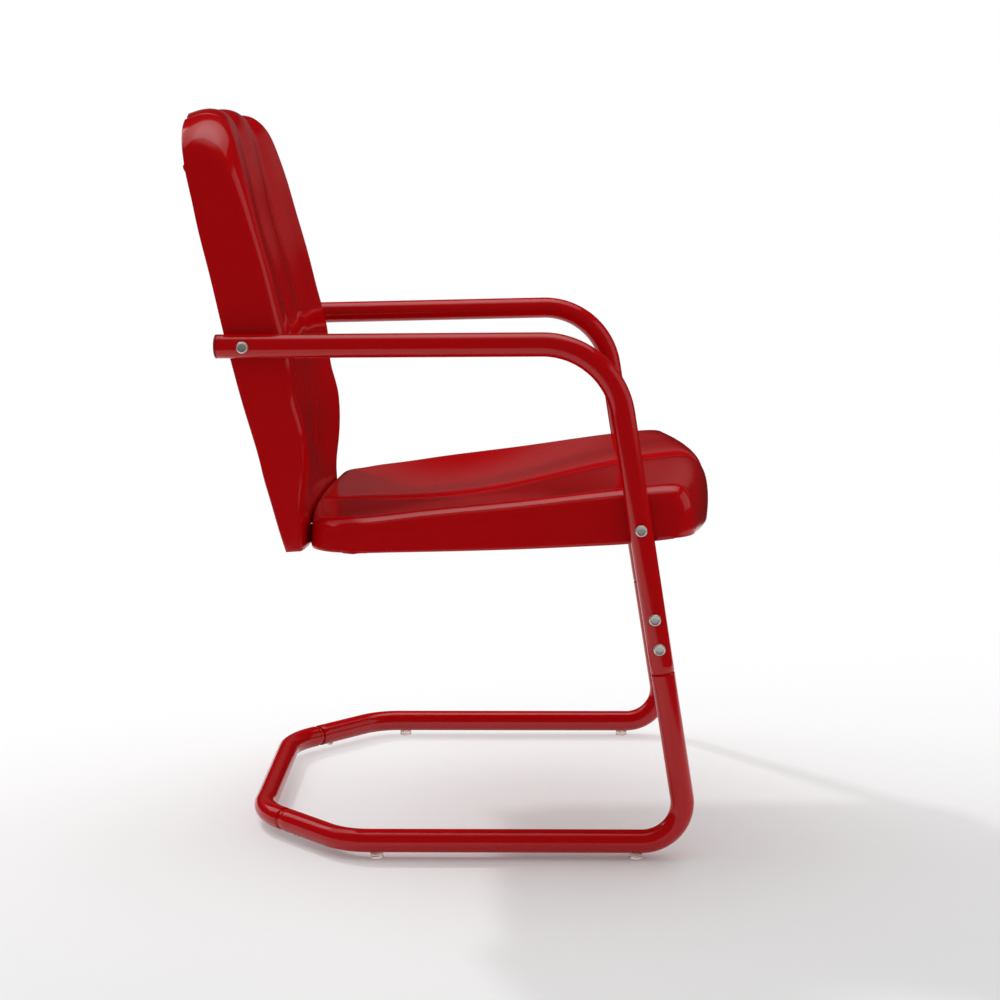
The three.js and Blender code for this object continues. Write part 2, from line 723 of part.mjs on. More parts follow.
/** Adds all that belongs to one side of the chair. */
function addSide(side, word, { back, seat }) {
  addPiece(`arm_tube_${word}`, armTube(side), enamel);
  addPiece(`base_tube_${word}`, baseTube(side), enamel);

  const armBack = armPoint(side, backBoltForward - armTail);
  const rearward = armBack.clone().sub(armCorner(side)).normalize();
  addPiece(`arm_end_plug_${word}`, orient(plugGeometry(), armBack, rearward), redPlastic);

  const places = boltPlaces(side);
  const tubeGrip = tubeRadius + fitGap;
  addBolt(`back_bolt_${word}`, places.back, nutGrip(back, places.back));
  addBolt(`seat_bolt_${word}`, places.seat, nutGrip(seat, places.seat));
  addBolt(`leg_bolt_upper_${word}`, places.legUpper, tubeGrip);
  addBolt(`leg_bolt_lower_${word}`, places.legLower, tubeGrip);

  addSeatBackBolt(side, word, { back, seat });
  addGlides(side, word);
  addBaseScrew(side, word);
}

/** The bolt behind the back's foot and its nut under the seat. */
function addSeatBackBolt(side, word, { back, seat }) {
  const joint = seatBackJoint(side);
  const rearward = place(side, 0, -1, 0);
  const forward = rearward.clone().negate();
  const headSeat = shellGrip(back, joint, rearward, boltHeadDiameter);
  const nutSeat = shellGrip(seat, joint, forward, 2 * nutCorner);
  const bolt = boltGeometry({
    shank: headSeat + nutSeat + nutHeight + boltEnd,
    diameter: boltDiameter,
    headDiameter: boltHeadDiameter,
    headHeight: boltHeadHeight,
  });
  const headPlace = joint.clone().addScaledVector(rearward, headSeat);
  addPiece(`seat_back_bolt_${word}`, orient(bolt, headPlace, rearward), zinc);
  const nutPlace = joint.clone().addScaledVector(forward, nutSeat);
  addPiece(`seat_back_nut_${word}`, orient(nutGeometry(), nutPlace, forward), zinc);
}

/** The two glides under one floor rail. */
function addGlides(side, word) {
  const glides = { front: glideFrontForward, rear: glideRearForward };
  Object.entries(glides).forEach(([end, forward]) => {
    const foot = place(side, legSpacing / 2, forward, 0);
    addPiece(`glide_${end}_${word}`, orient(glideGeometry(), foot, place(1, 0, 0, 1)), clearPlastic);
  });
}

/** The screw that holds the cross tube in a floor rail, from below. */
function addBaseScrew(side, word) {
  const centre = railRun(side, railEnd - screwSetback);
  const screw = boltGeometry({
    shank: tubeRadius - boreRadius + neckStep + tubeWall + boltEnd,
    diameter: screwDiameter,
    headDiameter: screwHeadDiameter,
    headHeight: screwHeadHeight,
  });
  const down = place(1, 0, 0, -1);
  const seat = centre.clone().addScaledVector(down, tubeRadius + fitGap);
  addPiece(`base_screw_${word}`, orient(screw, seat, down), zinc);
}

const shells = { back: backShell(), seat: seatShell() };
addPiece('back_shell', shells.back, enamel);
addPiece('seat_shell', shells.seat, enamel);
addPiece('rear_cross_tube', rearCrossTube(), enamel);
addSide(-1, 'right', shells);
addSide(1, 'left', shells);

// The chair stands on its glides, with the origin under the middle of its outer box.
const outerBox = new THREE.Box3().setFromObject(chair);
const middle = outerBox.getCenter(new THREE.Vector3());
chair.children.forEach((piece) => piece.geometry.translate(-middle.x, -middle.y, -outerBox.min.z));

export default chair;
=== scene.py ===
"""A metal spring lawn chair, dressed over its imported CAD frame.

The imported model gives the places. The smooth pressed shells, bent tubes, bolts, plugs and
glides that stand over it are modelled here, in metres, from sizes in millimetres.
"""

from __future__ import annotations

import logging
import math
from collections.abc import Iterator
from contextlib import contextmanager
from dataclasses import dataclass, field
from enum import Enum

import bmesh
import bpy
import numpy as np
from mathutils import Matrix, Vector


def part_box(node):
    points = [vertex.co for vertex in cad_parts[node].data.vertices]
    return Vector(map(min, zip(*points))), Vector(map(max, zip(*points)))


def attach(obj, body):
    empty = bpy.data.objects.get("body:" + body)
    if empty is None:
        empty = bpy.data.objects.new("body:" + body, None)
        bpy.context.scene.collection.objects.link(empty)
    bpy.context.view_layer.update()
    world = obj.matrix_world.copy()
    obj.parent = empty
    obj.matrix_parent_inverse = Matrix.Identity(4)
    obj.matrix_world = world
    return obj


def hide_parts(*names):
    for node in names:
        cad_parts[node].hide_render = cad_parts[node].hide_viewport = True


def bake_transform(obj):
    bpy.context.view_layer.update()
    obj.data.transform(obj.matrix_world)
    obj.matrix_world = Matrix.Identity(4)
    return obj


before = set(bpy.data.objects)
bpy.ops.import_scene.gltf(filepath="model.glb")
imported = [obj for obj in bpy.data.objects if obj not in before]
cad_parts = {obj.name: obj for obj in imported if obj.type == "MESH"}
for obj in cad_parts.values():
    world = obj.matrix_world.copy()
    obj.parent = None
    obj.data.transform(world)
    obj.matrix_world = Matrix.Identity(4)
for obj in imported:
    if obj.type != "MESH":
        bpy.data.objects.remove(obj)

LOG = logging.getLogger("lawn_chair")
MERGE = 1e-6
MM = 0.001
NEARLY_UP = 0.9
RIGHT_ANGLE = math.pi / 2
SHARP = math.radians(50)
SOFT = {"interpolation_type": "SMOOTHSTEP"}
TIMES = {"operation": "MULTIPLY"}
UP = Vector((0, 0, 1))
WHITE = "#ffffff"


class Side(Enum):
    """A side of the chair, as its sitter has it."""

    RIGHT = -1
    LEFT = 1

    @property
    def word(self) -> str:
        """The side's word in the CAD's names."""
        return self.name.lower()


class Body(Enum):
    """The CAD bodies that pieces ride on."""

    BASE = "base"
    UPPER = "upper"


# Finishes


def linear(colour: str) -> tuple[float, float, float, float]:
    """Turns an sRGB hex colour to linear light.

    Args:
        colour: Six hex digits after a hash.

    Returns:
        Red, green, blue and an alpha of 1.
    """
    parts = [int(colour[i : i + 2], 16) / 255 for i in (1, 3, 5)]
    curve = [c / 12.92 if c <= 0.04045 else ((c + 0.055) / 1.055) ** 2.4 for c in parts]
    return (*curve, 1.0)


def feed(node: bpy.types.Node, **inputs: object) -> bpy.types.Node:
    """Sets a node's inputs.

    Args:
        node: The node.
        **inputs: Values or output sockets, by input name with spaces as underscores, or by
            `_0`, `_1` and so on for its number.

    Returns:
        The node.
    """
    for name, value in inputs.items():
        key = int(name[1:]) if name[0] == "_" else name.replace("_", " ")
        socket = node.inputs[key]
        if isinstance(value, bpy.types.NodeSocket):
            node.id_data.links.new(value, socket)
        else:
            socket.default_value = value
    return node


def add_node(
    tree: bpy.types.NodeTree, kind: str, settings: dict | None = None, **inputs: object
) -> bpy.types.Node:
    """Adds a node with its settings, values and links.

    Args:
        tree: The node tree.
        kind: The node's type name.
        settings: Attributes of the node.
        **inputs: Its inputs, as `feed` takes them.

    Returns:
        The new node.
    """
    node = tree.nodes.new(kind)
    for name, value in (settings or {}).items():
        setattr(node, name, value)
    return feed(node, **inputs)


@dataclass(frozen=True)
class Finish:
    """A finish whose grain, a noise of a real size, makes its skin smoother and rougher.

    The grain mixes in the shade, where the finish has one. A relief has its own size and height.
    """

    name: str
    colour: str
    roughness: float
    smoothest: float
    roughest: float
    grain_mm: float
    grain_detail: float = 2.0
    shade: str = ""
    relief_mm: float = 0.0
    relief_detail: float = 1.0
    relief_height_mm: float = 0.0
    relief_strength: float = 0.0

    def own(self) -> dict[str, float]:
        """What the finish sets on the shader's own sockets."""
        return {}

    def build(self) -> bpy.types.Material:
        """Makes the finish as a node material.

        Returns:
            The material.
        """
        material, tree, shader = new_material(self.name)
        where = add_node(tree, "ShaderNodeTexCoord").outputs["Object"]
        scale, detail = 1 / (self.grain_mm * MM), self.grain_detail
        noise = add_node(tree, "ShaderNodeTexNoise", Vector=where, Scale=scale, Detail=detail)
        grain = noise.outputs["Fac"]
        low, high = self.roughness * self.smoothest, self.roughness * self.roughest
        rough = add_node(tree, "ShaderNodeMapRange", Value=grain, To_Min=low, To_Max=high)
        feed(shader, Base_Color=linear(self.colour), Roughness=rough.outputs[0], **self.own())
        if self.shade:
            shades = {"_0": grain, "_6": linear(self.colour), "_7": linear(self.shade)}
            mixed = add_node(tree, "ShaderNodeMix", {"data_type": "RGBA"}, **shades)
            feed(shader, Base_Color=mixed.outputs[2])
        if self.relief_mm:
            scale, detail = 1 / (self.relief_mm * MM), self.relief_detail
            relief = add_node(tree, "ShaderNodeTexNoise", Vector=where, Scale=scale, Detail=detail)
            bump = add_node(
                tree,
                "ShaderNodeBump",
                Strength=self.relief_strength,
                Distance=self.relief_height_mm * MM,
                Height=relief.outputs["Fac"],
            )
            feed(shader, Normal=bump.outputs[0])
        return material


@dataclass(frozen=True)
class GlossEnamel(Finish):
    """Gloss powder enamel baked on steel: deep colour under a hard, slightly wavy skin.

    The skin mirrors its surroundings a little blurred, with a sprayed coat's faint orange peel.
    Its grain is broad clouds in the coat, which vary its depth of colour and gloss a little.
    """

    name: str = "gloss_enamel"
    colour: str = "#b20208"
    shade: str = "#ad0207"
    roughness: float = 0.13
    smoothest: float = 0.85
    roughest: float = 1.15
    grain_mm: float = 90.0
    relief_mm: float = 3.2
    relief_height_mm: float = 0.004
    relief_strength: float = 0.35
    ior: float = 1.44

    def own(self) -> dict[str, float]:
        """The enamel's refraction."""
        return {"IOR": self.ior}


@dataclass(frozen=True)
class ZincPlate(Finish):
    """Bright zinc plating on steel: pale grey, its highlights blurred by the plating's grain.

    The real grain is too fine to show, so it is drawn coarser.
    """

    name: str = "zinc_plate"
    colour: str = "#f0eee8"
    shade: str = "#dddbd5"
    roughness: float = 0.34
    smoothest: float = 0.8
    roughest: float = 1.3
    grain_mm: float = 0.6
    grain_detail: float = 3.0
    metallic: float = 0.75

    def own(self) -> dict[str, float]:
        """The plating's share of metal."""
        return {"Metallic": self.metallic}


@dataclass(frozen=True)
class ClearVinyl(Finish):
    """Clear moulded vinyl: see-through with a faint warm tint, its skin softly frosted."""

    name: str = "clear_vinyl"
    colour: str = "#f0dcd6"
    roughness: float = 0.16
    smoothest: float = 0.6
    roughest: float = 1.6
    grain_mm: float = 1.2
    clearness: float = 0.85
    ior: float = 1.49

    def own(self) -> dict[str, float]:
        """The vinyl's clearness and refraction."""
        return {"Transmission_Weight": self.clearness, "IOR": self.ior}


@dataclass(frozen=True)
class MouldedPlastic(Finish):
    """Moulded polypropylene: an even satin skin with a fine spark-eroded grain.

    The real grain is too fine to show, so it is drawn coarser.
    """

    name: str = "moulded_plastic"
    colour: str = "#8c0c16"
    roughness: float = 0.38
    smoothest: float = 0.9
    roughest: float = 1.15
    grain_mm: float = 0.9
    relief_mm: float = 0.9
    relief_detail: float = 2.0
    relief_height_mm: float = 0.02
    relief_strength: float = 0.4


def new_material(name: str) -> tuple[bpy.types.Material, bpy.types.NodeTree, bpy.types.Node]:
    """Makes an empty node material.

    Args:
        name: The material's name.

    Returns:
        The material, its node tree and its Principled shader.
    """
    material = bpy.data.materials.new(name)
    material.use_nodes = True
    tree = material.node_tree
    return material, tree, tree.nodes["Principled BSDF"]


# Bench tools


def pick(piece: bpy.types.Object) -> None:
    """Selects a piece alone and makes it the active one."""
    bpy.ops.object.select_all(action="DESELECT")
    bpy.context.view_layer.objects.active = piece
    piece.select_set(True)


@contextmanager
def editing(piece: bpy.types.Object) -> Iterator[None]:
    """Opens a piece alone in edit mode, and leaves edit mode after the block.

    Args:
        piece: The piece.
    """
    pick(piece)
    bpy.ops.object.mode_set(mode="EDIT")
    try:
        yield
    finally:
        bpy.ops.object.mode_set(mode="OBJECT")


def added(name: str) -> bpy.types.Object:
    """Names the primitive that was just added, and sets its place into its mesh.

    Args:
        name: Its name.

    Returns:
        The primitive.
    """
    piece = bpy.context.active_object
    piece.name = name
    piece.data.name = name
    pick(piece)
    bpy.ops.object.transform_apply(location=True, rotation=True, scale=True)
    return piece


def add_rod(name: str, radius: float, bottom: float, top: float, facets: int) -> bpy.types.Object:
    """Adds an upright cylinder on the Z axis.

    Args:
        name: Its name.
        radius: Its radius in millimetres.
        bottom: The height of its lower end in millimetres.
        top: The height of its upper end in millimetres.
        facets: How many sides it has.

    Returns:
        The cylinder, its place in its mesh.
    """
    bpy.ops.object.select_all(action="DESELECT")
    bpy.ops.mesh.primitive_cylinder_add(
        vertices=facets,
        radius=radius * MM,
        depth=(top - bottom) * MM,
        location=(0, 0, (top + bottom) / 2 * MM),
    )
    return added(name)


def modify(piece: bpy.types.Object, kind: str, **settings: object) -> None:
    """Adds a modifier with its settings and applies it.

    Args:
        piece: The piece.
        kind: The modifier's type.
        **settings: Its settings, by name.
    """
    modifier = piece.modifiers.new(kind.title(), kind)
    for name, value in settings.items():
        setattr(modifier, name, value)
    pick(piece)
    bpy.ops.object.modifier_apply(modifier=modifier.name)


def round_edges(piece: bpy.types.Object, width: float, segments: int) -> None:
    """Rounds a piece's sharp edges, by so many millimetres and in so many steps."""
    modify(piece, "BEVEL", width=width * MM, segments=segments, limit_method="ANGLE", angle_limit=SHARP)


def open_top(piece: bpy.types.Object, inset: float = 0.0) -> None:
    """Selects, in edit mode, the faces that point up, and insets them.

    Args:
        piece: The piece.
        inset: How far, in millimetres.
    """
    mesh = bmesh.from_edit_mesh(piece.data)
    for part in (*mesh.verts, *mesh.edges, *mesh.faces):
        part.select_set(False)
    for face in (face for face in mesh.faces if face.normal.z > NEARLY_UP):
        face.select_set(True)
    mesh.select_flush_mode()
    bmesh.update_edit_mesh(piece.data)
    bpy.ops.mesh.inset(thickness=inset * MM)


def lift_top(height: float) -> None:
    """Extrudes the selected top by some millimetres, in edit mode."""
    bpy.ops.mesh.extrude_region_move(TRANSFORM_OT_translate={"value": (0, 0, height * MM)})


def smooth(piece: bpy.types.Object, angle: float = math.radians(35)) -> None:
    """Shades a piece smooth, apart from its sharp edges."""
    pick(piece)
    bpy.ops.object.shade_smooth_by_angle(angle=angle)


def along(direction: Vector) -> Matrix:
    """The turn that takes +Z to a direction."""
    return direction.to_track_quat("Z", "Y").to_matrix().to_4x4()


def placed_copy(master: bpy.types.Object, name: str, start: Vector, direction: Vector) -> bpy.types.Object:
    """Copies a piece modelled along +Z to a place, with a mesh of its own.

    Args:
        master: The piece to copy.
        name: The copy's name.
        start: Where the master's origin goes, in metres.
        direction: Where the master's +Z points.

    Returns:
        The copy.
    """
    copy = master.copy()
    copy.data = master.data.copy()
    copy.name = name
    copy.data.name = name
    bpy.context.scene.collection.objects.link(copy)
    copy.data.transform(Matrix.Translation(start) @ along(direction))
    return copy


def remove(piece: bpy.types.Object) -> None:
    """Deletes a master once its copies are made."""
    bpy.data.objects.remove(piece, do_unlink=True)


def install(
    piece: bpy.types.Object,
    material: bpy.types.Material,
    body: Body | None,
    replaces: str,
) -> None:
    """Gives a finished piece its material and body, and hides the CAD node that it stands for.

    Args:
        piece: The finished piece, its place in its mesh.
        material: Its finish.
        body: The body that it rides on, or None for a piece that bends between bodies, which is left on
            none.
        replaces: The CAD node that it stands for.
    """
    piece.data.materials.clear()
    piece.data.materials.append(material)
    if body:
        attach(piece, body.value)
    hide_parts(replaces)
    LOG.info("%s: %d faces", piece.name, len(piece.data.polygons))


# Layout shared by the pieces


@dataclass(frozen=True)
class Layout:
    """The chair's own measuring lines, in millimetres.

    Forward lengths run from a datum below the middle of the seat, which lies behind the
    frame's origin by `middle`.
    """

    middle: float
    tube_diameter: float = 27.0
    tube_wall: float = 1.5
    sheet: float = 1.5
    gap: float = 0.3
    foot_forward: float = 206.0
    leg_lean: float = math.radians(8.9)
    arm_height: float = 591.0
    arm_slope: float = math.radians(0.68)
    rail_height: float = 19.8
    back_width: float = 412.0
    seat_width: float = 482.0
    back_bolt_forward: float = -294.5

    @property
    def tube_radius(self) -> float:
        """Radius of the frame tube."""
        return self.tube_diameter / 2

    @property
    def leg_across(self) -> float:
        """Distance of a leg's centreline from the middle."""
        return self.seat_width / 2 + self.tube_radius + self.gap

    @property
    def convergence(self) -> float:
        """How much an arm draws in for each unit rearward."""
        narrow = self.back_width / 2 + self.tube_radius + self.gap
        return (self.leg_across - narrow) / (self.leg_forward(self.arm_height) - self.back_bolt_forward)

    def place(self, side: float, across: float, forward: float, up: float) -> Vector:
        """A point of the frame, in metres."""
        return Vector((side * across, -forward - self.middle, up)) * MM

    def leg_forward(self, height: float) -> float:
        """Forward place of a leg's centreline at a height."""
        return self.foot_forward - (height - self.rail_height) * math.tan(self.leg_lean)

    def on_leg(self, side: Side, height: float) -> Vector:
        """A point on a leg's centreline."""
        return self.place(side.value, self.leg_across, self.leg_forward(height), height)

    def on_arm(self, side: Side, forward: float) -> Vector:
        """A point on an arm's centreline.

        Args:
            side: The arm's side.
            forward: The point's forward place.

        Returns:
            The point, in metres.
        """
        rearward = self.leg_forward(self.arm_height) - forward
        across = self.leg_across - rearward * self.convergence
        up = self.arm_height - rearward * math.tan(self.arm_slope)
        return self.place(side.value, across, forward, up)


def measure_layout() -> Layout:
    """Finds the datum from a front glide, which stands a known length before it.

    Returns:
        The layout.
    """
    glide_forward = 145.5
    low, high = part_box("glide_front_right")
    return Layout(middle=-(low.y + high.y) / 2 / MM - glide_forward)


# Bent tubes


@dataclass(frozen=True)
class Corner:
    """A corner of a tube's route: a bend if it has a radius, else a plain ring.

    Width is the tube's radius from here on, where that changes.
    """

    point: Vector
    bend: float = 0.0
    width: float | None = None


@dataclass
class BentTube:
    """A round tube drawn along straight runs and round bends.

    Sizes are in millimetres and route points in metres.
    """

    name: str
    corners: list[Corner]
    radius: float
    wall: float
    facets: int = 56
    run_pitch: float = 9.0
    bend_pitch: float = math.radians(3.0)
    rim_round: float = 0.35

    def model(self) -> bpy.types.Object:
        """Draws the tube and gives it its wall.

        Returns:
            The finished tube.
        """
        first, second = self.corners[0].point, self.corners[1].point
        bpy.ops.object.select_all(action="DESELECT")
        bpy.ops.mesh.primitive_circle_add(
            vertices=self.facets,
            radius=(self.corners[0].width or self.radius) * MM,
            location=first,
            rotation=along((second - first).normalized()).to_euler(),
        )
        tube = added(self.name)
        with editing(tube):
            bpy.ops.mesh.select_all(action="SELECT")
            self._draw(first)
            bpy.ops.mesh.select_all(action="SELECT")
            bpy.ops.mesh.remove_doubles(threshold=MERGE)
            bpy.ops.mesh.normals_make_consistent(inside=False)
        modify(tube, "SOLIDIFY", thickness=self.wall * MM, offset=-1.0, use_rim=True)
        round_edges(tube, self.rim_round, 2)
        smooth(tube)
        return tube

    def _draw(self, here: Vector) -> None:
        """Draws the selected ring along the rest of the route.

        Args:
            here: The ring's place.
        """
        width = self.corners[0].width or self.radius
        for before, corner, after in zip(self.corners, self.corners[1:], [*self.corners[2:], None]):
            bend = self._bend(before.point, corner, after.point) if corner.bend and after else None
            here = self._run(here, bend.start if bend else corner.point)
            wanted = corner.width or width
            if wanted != width:
                bpy.ops.transform.resize(value=(wanted / width,) * 3, center_override=here)
                width = wanted
            if bend:
                bpy.ops.mesh.spin(
                    steps=max(round(bend.turn / self.bend_pitch), 2),
                    angle=-bend.turn,
                    center=bend.centre,
                    axis=bend.axis,
                )
                here = bend.end

    def _run(self, here: Vector, there: Vector) -> Vector:
        """Extrudes the selected ring straight to a point, in short steps.

        Args:
            here: The ring's place.
            there: The point.

        Returns:
            The ring's new place.
        """
        length = (there - here).length
        if length < MERGE:
            return there
        steps = max(round(length / (self.run_pitch * MM)), 1)
        for _ in range(steps):
            bpy.ops.mesh.extrude_region_move(TRANSFORM_OT_translate={"value": (there - here) / steps})
        return there

    @staticmethod
    def _bend(before: Vector, corner: Corner, after: Vector) -> "Bend":
        """Works out the round bend at a corner.

        Args:
            before: The route's point before it.
            corner: The corner.
            after: The route's point after it.

        Returns:
            The bend.
        """
        inward = (corner.point - before).normalized()
        outward = (after - corner.point).normalized()
        turn = inward.angle(outward)
        radius = corner.bend * MM
        reach = radius * math.tan(turn / 2)
        centre = corner.point + (outward - inward).normalized() * (radius / math.cos(turn / 2))
        return Bend(
            start=corner.point - inward * reach,
            end=corner.point + outward * reach,
            centre=centre,
            axis=inward.cross(outward).normalized(),
            turn=turn,
        )


@dataclass(frozen=True)
class Bend:
    """A round bend: where it starts and ends, its centre, its axis and its turn."""

    start: Vector
    end: Vector
    centre: Vector
    axis: Vector
    turn: float


@dataclass
class SpringFrame:
    """The sprung tube frame: two arms, two base tubes and the cross tube behind."""

    layout: Layout
    enamel: bpy.types.Material
    arm_tail: float = 31.0
    arm_bend: float = 90.0
    foot_bend: float = 46.0
    joint_height: float = 220.0
    joint_overlap: float = 92.0
    shoulder: float = 2.5
    rail_forward: float = -189.0
    rail_inward: float = math.radians(45)
    rail_bend: float = 69.0
    cross_forward: float = -298.0
    cross_bend: float = 86.0
    cross_overlap: float = 45.0
    cross_gap: float = 5.0
    cross_setback: float = 8.0
    bend_from_height: float = 40.0
    bend_to_height: float = 205.0

    @property
    def neck(self) -> float:
        """Radius of a swaged end, which slides into a tube's bore."""
        return self.layout.tube_radius - self.layout.tube_wall - self.layout.gap

    @property
    def inward_run(self) -> float:
        """Length of a floor rail's inward run to the cross tube's corner."""
        return (self.rail_forward - self.cross_forward) / math.cos(self.rail_inward)

    @property
    def rail_end(self) -> float:
        """Length of the inward run to the floor rail's end."""
        bend = self.cross_bend * math.tan(self.rail_inward / 2)
        return self.inward_run - bend - self.cross_setback - self.cross_gap

    def on_rail(self, side: Side, length: float) -> Vector:
        """A point on a floor rail's inward run.

        Args:
            side: The rail's side.
            length: How far it lies behind the rail's corner.

        Returns:
            The point, in metres.
        """
        across = self.layout.leg_across - length * math.sin(self.rail_inward)
        forward = self.rail_forward - length * math.cos(self.rail_inward)
        return self.layout.place(side.value, across, forward, self.layout.rail_height)

    def build(self) -> None:
        """Models the five tubes, and sets the arms and the cross tube on their bodies."""
        for side in Side:
            self._install_arm(side)
            self._install_base(side)
        self._install_cross()

    def _tube(self, name: str, corners: list[Corner]) -> bpy.types.Object:
        """Models one tube of the frame."""
        return BentTube(name, corners, self.layout.tube_radius, self.layout.tube_wall).model()

    def _install_arm(self, side: Side) -> None:
        """The arm and upper leg, bent from one tube.

        Args:
            side: The side that it stands on.
        """
        layout = self.layout
        corner = layout.on_arm(side, layout.leg_forward(layout.arm_height))
        arm = self._tube(
            f"arm_loop_{side.word}",
            [
                Corner(layout.on_arm(side, layout.back_bolt_forward - self.arm_tail)),
                Corner(corner, bend=self.arm_bend),
                Corner(layout.on_leg(side, self.joint_height)),
            ],
        )
        install(arm, self.enamel, Body.UPPER, f"arm_tube_{side.word}")

    def _install_base(self, side: Side) -> None:
        """The lower leg, spring bend and floor rail, which bend as the chair rocks.

        Args:
            side: The side that they stand on.
        """
        layout = self.layout
        neck_top = self.joint_height + self.joint_overlap * math.cos(layout.leg_lean)
        joint = self.joint_height - layout.gap
        base = self._tube(
            f"base_loop_{side.word}",
            [
                Corner(layout.on_leg(side, neck_top), width=self.neck),
                Corner(layout.on_leg(side, joint)),
                Corner(layout.on_leg(side, joint - self.shoulder), width=layout.tube_radius),
                Corner(layout.on_leg(side, layout.rail_height), bend=self.foot_bend),
                Corner(self.on_rail(side, 0), bend=self.rail_bend),
                Corner(self.on_rail(side, self.rail_end)),
            ],
        )
        install(base, self.enamel, None, f"base_tube_{side.word}")
        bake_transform(base)

    def _install_cross(self) -> None:
        """The cross tube, with both ends swaged into the floor rails."""
        neck_start = self.rail_end - self.cross_overlap
        neck_end = self.rail_end + self.cross_gap
        lengths = (neck_start, neck_end, neck_end + self.shoulder, self.inward_run)
        right = [self.on_rail(Side.RIGHT, length) for length in lengths]
        left = [self.on_rail(Side.LEFT, length) for length in reversed(lengths)]
        widths = (self.neck, None, self.layout.tube_radius, None, None, None, self.neck, None)
        bends = (0, 0, 0, self.cross_bend, self.cross_bend, 0, 0, 0)
        route = [Corner(*corner) for corner in zip([*right, *left], bends, widths)]
        cross = self._tube("cross_loop", route)
        install(cross, self.enamel, Body.BASE, "rear_cross_tube")


# Pressed shells

Rim = dict[bmesh.types.BMVert, tuple[Vector, Vector]]
Shares = list[tuple[float, ...]]


def through_rows(table: Shares, knots: np.ndarray, stations: np.ndarray) -> np.ndarray:
    """Draws a smooth curve through each column of a table of rows.

    Args:
        table: The rows' shares.
        knots: Each row's place along the form.
        stations: Places from the first knot to the last.

    Returns:
        One row of values for each station, from natural cubic splines.
    """
    rows = np.array(table, float)
    gaps = np.diff(knots)
    slopes = np.diff(rows, axis=0) / gaps[:, None]
    system = np.eye(len(rows))
    wanted = np.zeros_like(rows)
    for i in range(1, len(rows) - 1):
        system[i, i - 1 : i + 2] = (gaps[i - 1], 2 * (gaps[i - 1] + gaps[i]), gaps[i])
        wanted[i] = 6 * (slopes[i] - slopes[i - 1])
    bends = np.linalg.solve(system, wanted)
    at = np.clip(np.searchsorted(knots, stations, side="right") - 1, 0, len(rows) - 2)
    gap = gaps[at][:, None]
    t = (stations[:, None] - knots[at][:, None]) / gap
    s = 1 - t
    bent = (s**3 - s) * bends[at] + (t**3 - t) * bends[at + 1]
    return s * rows[at] + t * rows[at + 1] + bent * gap**2 / 6


def smoothstep(value: np.ndarray, start: float, end: float) -> np.ndarray:
    """A soft step from 0 at the start to 1 at the end."""
    t = np.clip((value - start) / (end - start), 0, 1)
    return t * t * (3 - 2 * t)


